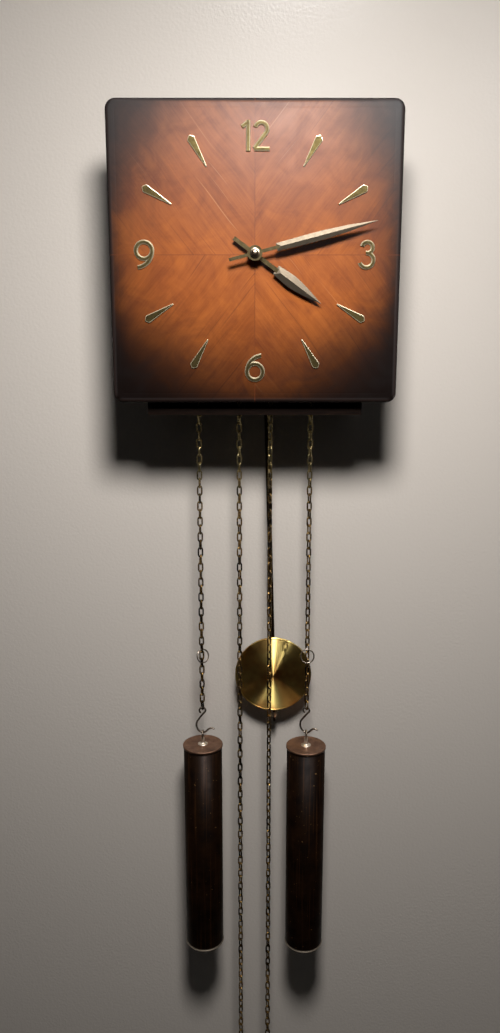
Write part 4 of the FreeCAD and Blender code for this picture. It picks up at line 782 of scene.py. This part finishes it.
def ring_piece(name, radius, wire, top, lean=0, turn=0):
    """A closed ring that hangs from its top point, leaned forward about X and turned about the upright."""
    a = np.arange(RING_STEPS) * 2 * np.pi / RING_STEPS
    flat = np.stack([radius * np.sin(a), np.zeros(RING_STEPS), radius * np.cos(a) - radius], axis=-1)
    points = swept(flat, LEVEL_AXIS, wire / 2, RING_SIDES, True)
    tilt = Matrix.Rotation(math.radians(turn), 3, "Z") @ Matrix.Rotation(math.radians(-lean), 3, "X")
    return mesh_piece(name, points @ np.array(tilt).T + top, weave(RING_STEPS, RING_SIDES, True, True))


class CLOCK_OT_rings(bpy.types.Operator):
    """Makes the pale stop rings on the weights' chains and the end rings of the free strands."""

    bl_idname = "clock.rings"
    bl_label = "Rings"

    def execute(self, context):
        sizes = context.scene.clock_sizes
        wire = sizes.ring_wire
        for name, side in SIDES.items():
            low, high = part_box(f"end_ring_{name}")
            end = ring_piece(f"end_loop_{name}", (high.z - low.z - wire) / 2, wire,
                             (side * INNER_X, CHAIN_Y, high.z - wire / 2))
            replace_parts(wear(end, "ring_steel"), f"end_ring_{name}")
            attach(end, f"chain_free_{name}")
            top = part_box(f"stop_ring_{name}")[1].z - wire / 2
            stop = ring_piece(f"stop_loop_{name}", sizes.ring_radius, wire, (side * OUTER_X, CHAIN_Y, top),
                              STOP_RING_LEAN, STOP_RING_TURNS[name])
            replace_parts(wear(stop, "ring_steel"), f"stop_ring_{name}")
            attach(stop, f"weight_{name}")
        return {"FINISHED"}


class CLOCK_OT_hooks(bpy.types.Operator):
    """Makes the bent wire hooks between the chains and the weights."""

    bl_idname = "clock.hooks"
    bl_label = "Hooks"

    def execute(self, context):
        eye = arc((0, HOOK_EYE_HEIGHT), HOOK_EYE_RADIUS, 240, -60, 13)
        x, z = smooth_path(np.vstack([eye, HOOK_BOW]), 5).T * MM
        path = np.stack([x, np.zeros(len(x)), z], axis=-1)
        wire = swept(path, LEVEL_AXIS, context.scene.clock_sizes.hook_wire / 2, RING_SIDES, False)
        for name, side in SIDES.items():
            place = (side * OUTER_X, CHAIN_Y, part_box(f"chain_hook_{name}")[0].z + HOOK_FOOT)
            turn = np.array(Matrix.Rotation(math.radians(HOOK_TURNS[name]), 3, "Z"))
            hook = mesh_piece(f"hook_{name}", *closed_ends(wire @ turn.T + place))
            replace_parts(wear(hook, "ring_steel"), f"chain_hook_{name}")
            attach(hook, f"weight_{name}")
        return {"FINISHED"}


class CLOCK_OT_weights(bpy.types.Operator):
    """Makes the weights' tubes with their rolled foot rims and their lids with post and eye."""

    bl_idname = "clock.weights"
    bl_label = "Weights"

    def execute(self, context):
        rim, shoulder, lid_height = 0.9 * MM, 0.8 * MM, 2.4 * MM
        eye_radius, eye_wire = 4 * MM, 1.9 * MM
        for name in SIDES:
            low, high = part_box(f"weight_shell_{name}")
            cap_low, cap_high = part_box(f"weight_cap_{name}")
            x, y, _ = middle(f"weight_shell_{name}")
            r, flange = (high.x - low.x) / 2, (cap_high.x - cap_low.x) / 2
            lid, eye_middle = high.z + lid_height, cap_high.z - 5 * MM
            tube = [offsets(0, low.z, (POLE, 0.6)), offsets(r, low.z, (-4, 0.6), (-2.4, 0)),
                    arc((r - rim, low.z + rim), rim, -90, 90, 7),
                    offsets(r, low.z, (-0.6, 2.2), (-0.5, 3.0)),
                    offsets(r, high.z, (-0.5, 0), (-1.7, 0), (-1.7, -1))]
            shell = turned_piece(f"weight_tube_{name}", tube, "Z", (x, y, 0), TUBE_STEPS)
            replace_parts(wear(shell, "weight_brass"), f"weight_shell_{name}")
            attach(shell, f"weight_{name}")
            top = [offsets(0, high.z, (POLE, -0.9)), offsets(r, high.z, (-1.9, -0.9), (-1.9, 0)),
                   offsets(flange, high.z, (0, 0)),
                   arc((flange - shoulder, lid - shoulder), shoulder, 0, 90, 5),
                   offsets(flange, lid, (-1.5, -0.05), (-2.1, -0.4)),
                   offsets(0, lid, (9, -0.3), (5.4, -0.1))]
            disc = turned_piece(f"weight_lid_{name}", top, "Z", (x, y, 0), TUBE_STEPS)
            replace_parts(wear(disc, "cap_brass"), f"weight_cap_{name}")
            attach(disc, f"weight_{name}")
            # the post: a collar on the lid, a stem and a rounded head under the eye
            post = [offsets(0, lid, (5.5, -0.6), (5.4, 0.2), (4.8, 0.6), (3.9, 0.8), (3.0, 1.1), (2.4, 1.7),
                            (2.1, 2.6), (2.0, 3.4)),
                    offsets(0, eye_middle, (1.95, -4.6), (1.4, -3.7), (POLE, -3.4))]
            post = turned_piece(f"weight_post_{name}", post, "Z", (x, y, 0), POST_STEPS)
            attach(wear(post, "ring_steel", "post_steel"), f"weight_{name}")
            top = (x, y, eye_middle + eye_radius)
            eye = ring_piece(f"weight_eye_{name}", eye_radius, eye_wire, top, turn=90)
            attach(wear(eye, "ring_steel"), f"weight_{name}")
        return {"FINISHED"}


# ---- bob

BOB_STEPS = 160
DISH_POINTS = 26
DISH_EASE = 0.04  # the part of the radius in which the cone rounds off into the middle


class CLOCK_OT_bob(bpy.types.Operator):
    """Makes the spun pendulum bob: a shallow cone with a rolled rim, and its flat back."""

    bl_idname = "clock.bob"
    bl_label = "Bob"

    def execute(self, context):
        low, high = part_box("bob_shell")
        r, front, back = (high.x - low.x) / 2, low.y, high.y
        roll, rim_y = 0.8 * MM, back - 2.3 * MM
        # the dish: a straight cone that eases into the middle
        t = np.linspace(1, 0.004, DISH_POINTS)
        rise = rim_y - 0.4 * MM - front
        y = front + rise * (np.sqrt(t * t + DISH_EASE ** 2) - DISH_EASE)
        dish = np.stack([(r - 1.9 * MM) * t, y], axis=-1)
        profile = [offsets(0, back, (POLE, -3.0)), offsets(r, back, (-2.2, -1.8), (-1.2, 0), (0, 0)),
                   offsets(r, rim_y, (0, 0.3)), arc((r - roll, rim_y), roll, 0, -150, 9), dish]
        centre = middle("bob_shell")
        bob = turned_piece("bob_dish", profile, "Y", (centre.x, 0, centre.z), BOB_STEPS)
        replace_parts(wear(bob, "bob_brass"), "bob_shell")
        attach(bob, "pendulum")
        return {"FINISHED"}


# ---- the face

HAND_HOLE = 6 * MM
SHARP_ANGLE = 35


def rounded_square(half, radius, corner_steps, side_steps):
    """The outline of a square with rounded corners, from the middle of its top, clockwise.

    Each quarter is a straight run, an arc about its corner's centre and a straight run.
    """
    corner = arc((half - radius, half - radius), radius, 90, 0, corner_steps)
    t = (np.arange(side_steps) / side_steps)[:, None]
    first = np.array([0, half]) * (1 - t) + corner[0] * t
    last = corner[-1] * (1 - t[1:]) + np.array([half, 0]) * t[1:]
    quarter = np.vstack([first, corner, last])
    turns = [np.array([[c, s], [-s, c]]) for c, s in ((1, 0), (0, 1), (-1, 0), (0, -1))]
    return np.vstack([quarter @ turn.T for turn in turns])


class CLOCK_OT_face(bpy.types.Operator):
    """Makes the face board: a slab with rounded corners, a rounded front edge and a fine line inside it."""

    bl_idname = "clock.face"
    bl_label = "Face board"

    def execute(self, context):
        sizes = context.scene.clock_sizes
        edge, front, back = sizes.face_round, FACE_LOW.y, FACE_HIGH.y
        hole = HALF_FACE - HAND_HOLE
        # inset and y from the hole over the back, the edge and the fine line to the hole again
        profile = [offsets(hole, back, (0, 0)), offsets(0, back, (1, 0), (0, -1)),
                   arc((edge, front + edge), -edge, 0, 90, 12), offsets(edge, front, (0.3, 0), (0.8, 0)),
                   offsets(sizes.bead, front, (-1.4, 0), (-0.8, 0), (-0.5, 0), (0, 0.06), (0.5, 0), (0.8, 0),
                           (1.4, 0)),
                   [(HALF_FACE * 0.35, front), (HALF_FACE * 0.7, front)],
                   offsets(hole, front, (-1, 0), (0, 0))]
        rings = []
        for inset, y in np.vstack(profile):
            reach = HALF_FACE - inset
            round_all = reach * 0.999
            corner = min(max(sizes.face_corner - inset, 0.25 * sizes.face_corner), round_all)
            x, z = rounded_square(reach, corner if reach > 2 * HAND_HOLE else round_all, 9, 6).T
            rings.append(np.stack(np.broadcast_arrays(x, y, z + DIAL_Z), axis=-1))
        # the last ring joins the first, as the wall of the hole for the hands
        points = np.array(rings)
        board = mesh_piece("face_panel", points, weave(*points.shape[:2], True, True))
        board.data.set_sharp_from_angle(angle=math.radians(SHARP_ANGLE))
        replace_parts(wear(board, "face_veneer"), "face_board")
        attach(board, "case")
        return {"FINISHED"}


# ---- finishes of the carried-over nodes


class CLOCK_OT_finishes(bpy.types.Operator):
    """Makes the clock's finishes and gives each node of the model the finish of its slot."""

    bl_idname = "clock.finishes"
    bl_label = "Finishes"

    def execute(self, context):
        FINISHES.update(finish_table(context.scene.clock_colours))
        for name, node in frame["nodes"].items():
            for place in node.material_slots:
                slot_name = place.material.name.split(".")[0]
                if slot_name not in FINISHES:
                    raise RuntimeError(f"node {name} has the slot {slot_name}, which has no finish")
                place.material = FINISHES[slot_name]
        return {"FINISHED"}


# ---- stage


def plain_sheet(name, corners, material, quads=((0, 1, 2, 3),)):
    """A flat-sided sheet of the stage, of four corners or of more with its quads."""
    sheet = mesh_piece(name, corners, np.array(quads), closed=False)
    sheet.data.materials.append(material)
    return sheet


def show(material, socket):
    """Joins a socket to the material's output in place of its shader."""
    tree = material.node_tree
    tree.links.new(socket, tree.nodes["Material Output"].inputs["Surface"])


def area_lamp(name, place, aim, watts, size, tint="#FFFFFF"):
    """An area lamp at a place, shining along aim: a disk of one size or a rectangle of two."""
    light = bpy.data.lights.new(name, "AREA")
    light.shape = "RECTANGLE" if len(size) > 1 else "DISK"
    light.size, light.size_y = size[0], size[-1]
    light.energy, light.color = watts, linear(tint)[:3]
    lamp = bpy.data.objects.new(name, light)
    lamp.location = place
    lamp.rotation_euler = aim.to_track_quat("-Z", "Y").to_euler()
    bpy.context.scene.collection.objects.link(lamp)
    return lamp


class CLOCK_OT_stage(bpy.types.Operator):
    """Sets up the wall, the floor, the lamps, the room and the camera."""

    bl_idname = "clock.stage"
    bl_label = "Stage"

    def execute(self, context):
        scene = context.scene
        sizes, colours = scene.clock_sizes, scene.clock_colours
        scene.view_settings.view_transform = "Standard"
        foot = CAD_BOX[0].z - sizes.floor_drop
        self.far_sides(foot)
        self.wall(colours, foot, sizes.wall_gap)
        self.floor(colours, foot)
        # one small round lamp above and in front, shining steeply down; mirrors see the gleams instead
        width = 2 * sizes.lamp_radius
        key = area_lamp("key_lamp", LAMP_PLACE, LAMP_AIM, LAMP_WATTS, (width,), "#FFFBF6")
        key.visible_glossy = False
        for name, (place, size, watts) in GLEAMS.items():
            gleam = area_lamp(name, place, GLEAM_TARGET - Vector(place), watts, size)
            gleam.visible_diffuse = gleam.visible_transmission = False
        area_lamp("back_fill", BACK_PLACE, BACK_TARGET - BACK_PLACE, BACK_WATTS, (BACK_SIZE,))
        self.room(scene)
        self.camera(scene)
        return {"FINISHED"}

    def far_sides(self, foot):
        """The dim far sides of the room, seen only in mirrors."""
        dark, tree, _ = new_finish("Dim far side of the room")
        dressed(dark, (0, 0, 0, 1), 1.0)
        show(dark, add(tree, "Emission", {"Color": linear("#8A8078"), "Strength": DIM_LEVEL}).outputs[0])
        near, far, low, high, wide = -0.02, -3.0, foot + 0.02, 2.2, 2.6
        square = ((-wide, low), (wide, low), (wide, high), (-wide, high))
        card = plain_sheet("dim_room", [(x, y, z) for y in (far, near) for x, z in square], dark,
                           ((0, 1, 2, 3), (0, 3, 7, 4), (2, 1, 5, 6), (0, 1, 5, 4)))
        card.visible_camera = card.visible_diffuse = card.visible_shadow = card.visible_transmission = False

    def wall(self, colours, foot, y):
        """Satin paint with a roller's soft texture, 3 mm across; from behind the eye sees through it."""
        paint, tree, place = new_finish("Rolled wall paint")
        texture = relief(noise(place, 340.0, detail=3.0), 5.5e-4, 0.55)
        dressed(paint, colours.wall, 0.32, texture, specular=0.13)
        behind = add(tree, "NewGeometry").outputs["Backfacing"]
        clear = math_node("MULTIPLY", behind, add(tree, "LightPath").outputs["Is Camera Ray"])
        show(paint, add(tree, "MixShader", {0: clear, 1: tree.nodes["Principled BSDF"].outputs[0],
                                            2: add(tree, "BsdfTransparent").outputs[0]}).outputs[0])
        x, top = SHEET_HALF, WALL_TOP
        wall = plain_sheet("wall", [(-x, y, foot), (x, y, foot), (x, y, top), (-x, y, top)], paint)
        wall.visible_shadow = False

    def floor(self, colours, foot):
        """A plain pale floor that throws little light back up."""
        ground, tree, place = new_finish("Pale matt floor")
        tint = tinted(noise(place, 6.0), colours.floor, "#BFBCB7")
        bounce = add(tree, "LightPath").outputs["Is Diffuse Ray"]
        dressed(ground, tinted(bounce, tint, "#2A2928"), 0.8)
        x = SHEET_HALF
        plain_sheet("floor", [(-x, -x, foot), (x, -x, foot), (x, x, foot), (-x, x, foot)], ground)

    def room(self, scene):
        """A world that is dim for the surfaces, with a pale background for the eye, mirrors and glass."""
        room = scene.world or bpy.data.worlds.new("room")
        scene.world = room
        room.use_nodes = True
        tree = room.node_tree
        tree.nodes.clear()
        path = add(tree, "LightPath").outputs
        plain = math_node("MAXIMUM", path["Is Camera Ray"], path["Is Glossy Ray"])
        plain = math_node("MAXIMUM", plain, path["Is Transmission Ray"])
        height = axis(add(tree, "TexCoord").outputs["Generated"], "Z")
        dim = spread(height, -0.1, 0.6, 0.0, ROOM_LEVEL)
        level = add(tree, "Mix", {0: plain, 2: dim, 3: PALE_LEVEL}, data_type="FLOAT").outputs[0]
        glow = add(tree, "Background", {"Color": linear("#F4F1EC"), "Strength": level})
        add(tree, "OutputWorld", {"Surface": glow.outputs[0]})

    def camera(self, scene):
        """The camera: below the dial, looking slightly down."""
        lens = bpy.data.cameras.new("camera")
        lens.sensor_width, lens.lens, lens.shift_x = FILM_WIDTH, LENS, CAMERA_SHIFT
        camera = bpy.data.objects.new("camera", lens)
        pitch = Matrix.Rotation(math.radians(90 - CAMERA_PITCH), 4, "X")
        roll = Matrix.Rotation(CAMERA_ROLL, 4, "Z")
        camera.matrix_world = Matrix.Translation(CAMERA_PLACE) @ pitch @ roll
        scene.collection.objects.link(camera)
        scene.camera = camera


# ---- panel and registration


MAKERS = (CLOCK_OT_finishes, CLOCK_OT_face, CLOCK_OT_chains, CLOCK_OT_rings, CLOCK_OT_hooks,
          CLOCK_OT_weights, CLOCK_OT_bob, CLOCK_OT_stage)


class CLOCK_PT_panel(bpy.types.Panel):
    """Lists the sizes, the colours and the operators of the clock."""

    bl_idname = "CLOCK_PT_panel"
    bl_label = "Clock"
    bl_space_type = "VIEW_3D"
    bl_region_type = "UI"
    bl_category = "Clock"

    def draw(self, context):
        for group in (context.scene.clock_sizes, context.scene.clock_colours):
            column = self.layout.column(align=True)
            for key in group.__annotations__:
                column.prop(group, key)
        for maker in MAKERS:
            self.layout.operator(maker.bl_idname)


CLASSES = (ClockSizes, ClockColours, *MAKERS, CLOCK_PT_panel)


def register():
    """Registers the classes and hangs the two property groups on the scene."""
    for cls in CLASSES:
        bpy.utils.register_class(cls)
    bpy.types.Scene.clock_sizes = bpy.props.PointerProperty(type=ClockSizes)
    bpy.types.Scene.clock_colours = bpy.props.PointerProperty(type=ClockColours)


def unregister():
    """Takes the property groups off the scene and unregisters the classes."""
    del bpy.types.Scene.clock_colours
    del bpy.types.Scene.clock_sizes
    for cls in reversed(CLASSES):
        bpy.utils.unregister_class(cls)


def main():
    """Registers the add-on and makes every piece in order."""
    register()
    for maker in MAKERS:
        category, action = maker.bl_idname.split(".")
        getattr(getattr(bpy.ops, category), action)()


if __name__ == "__main__":
    main()
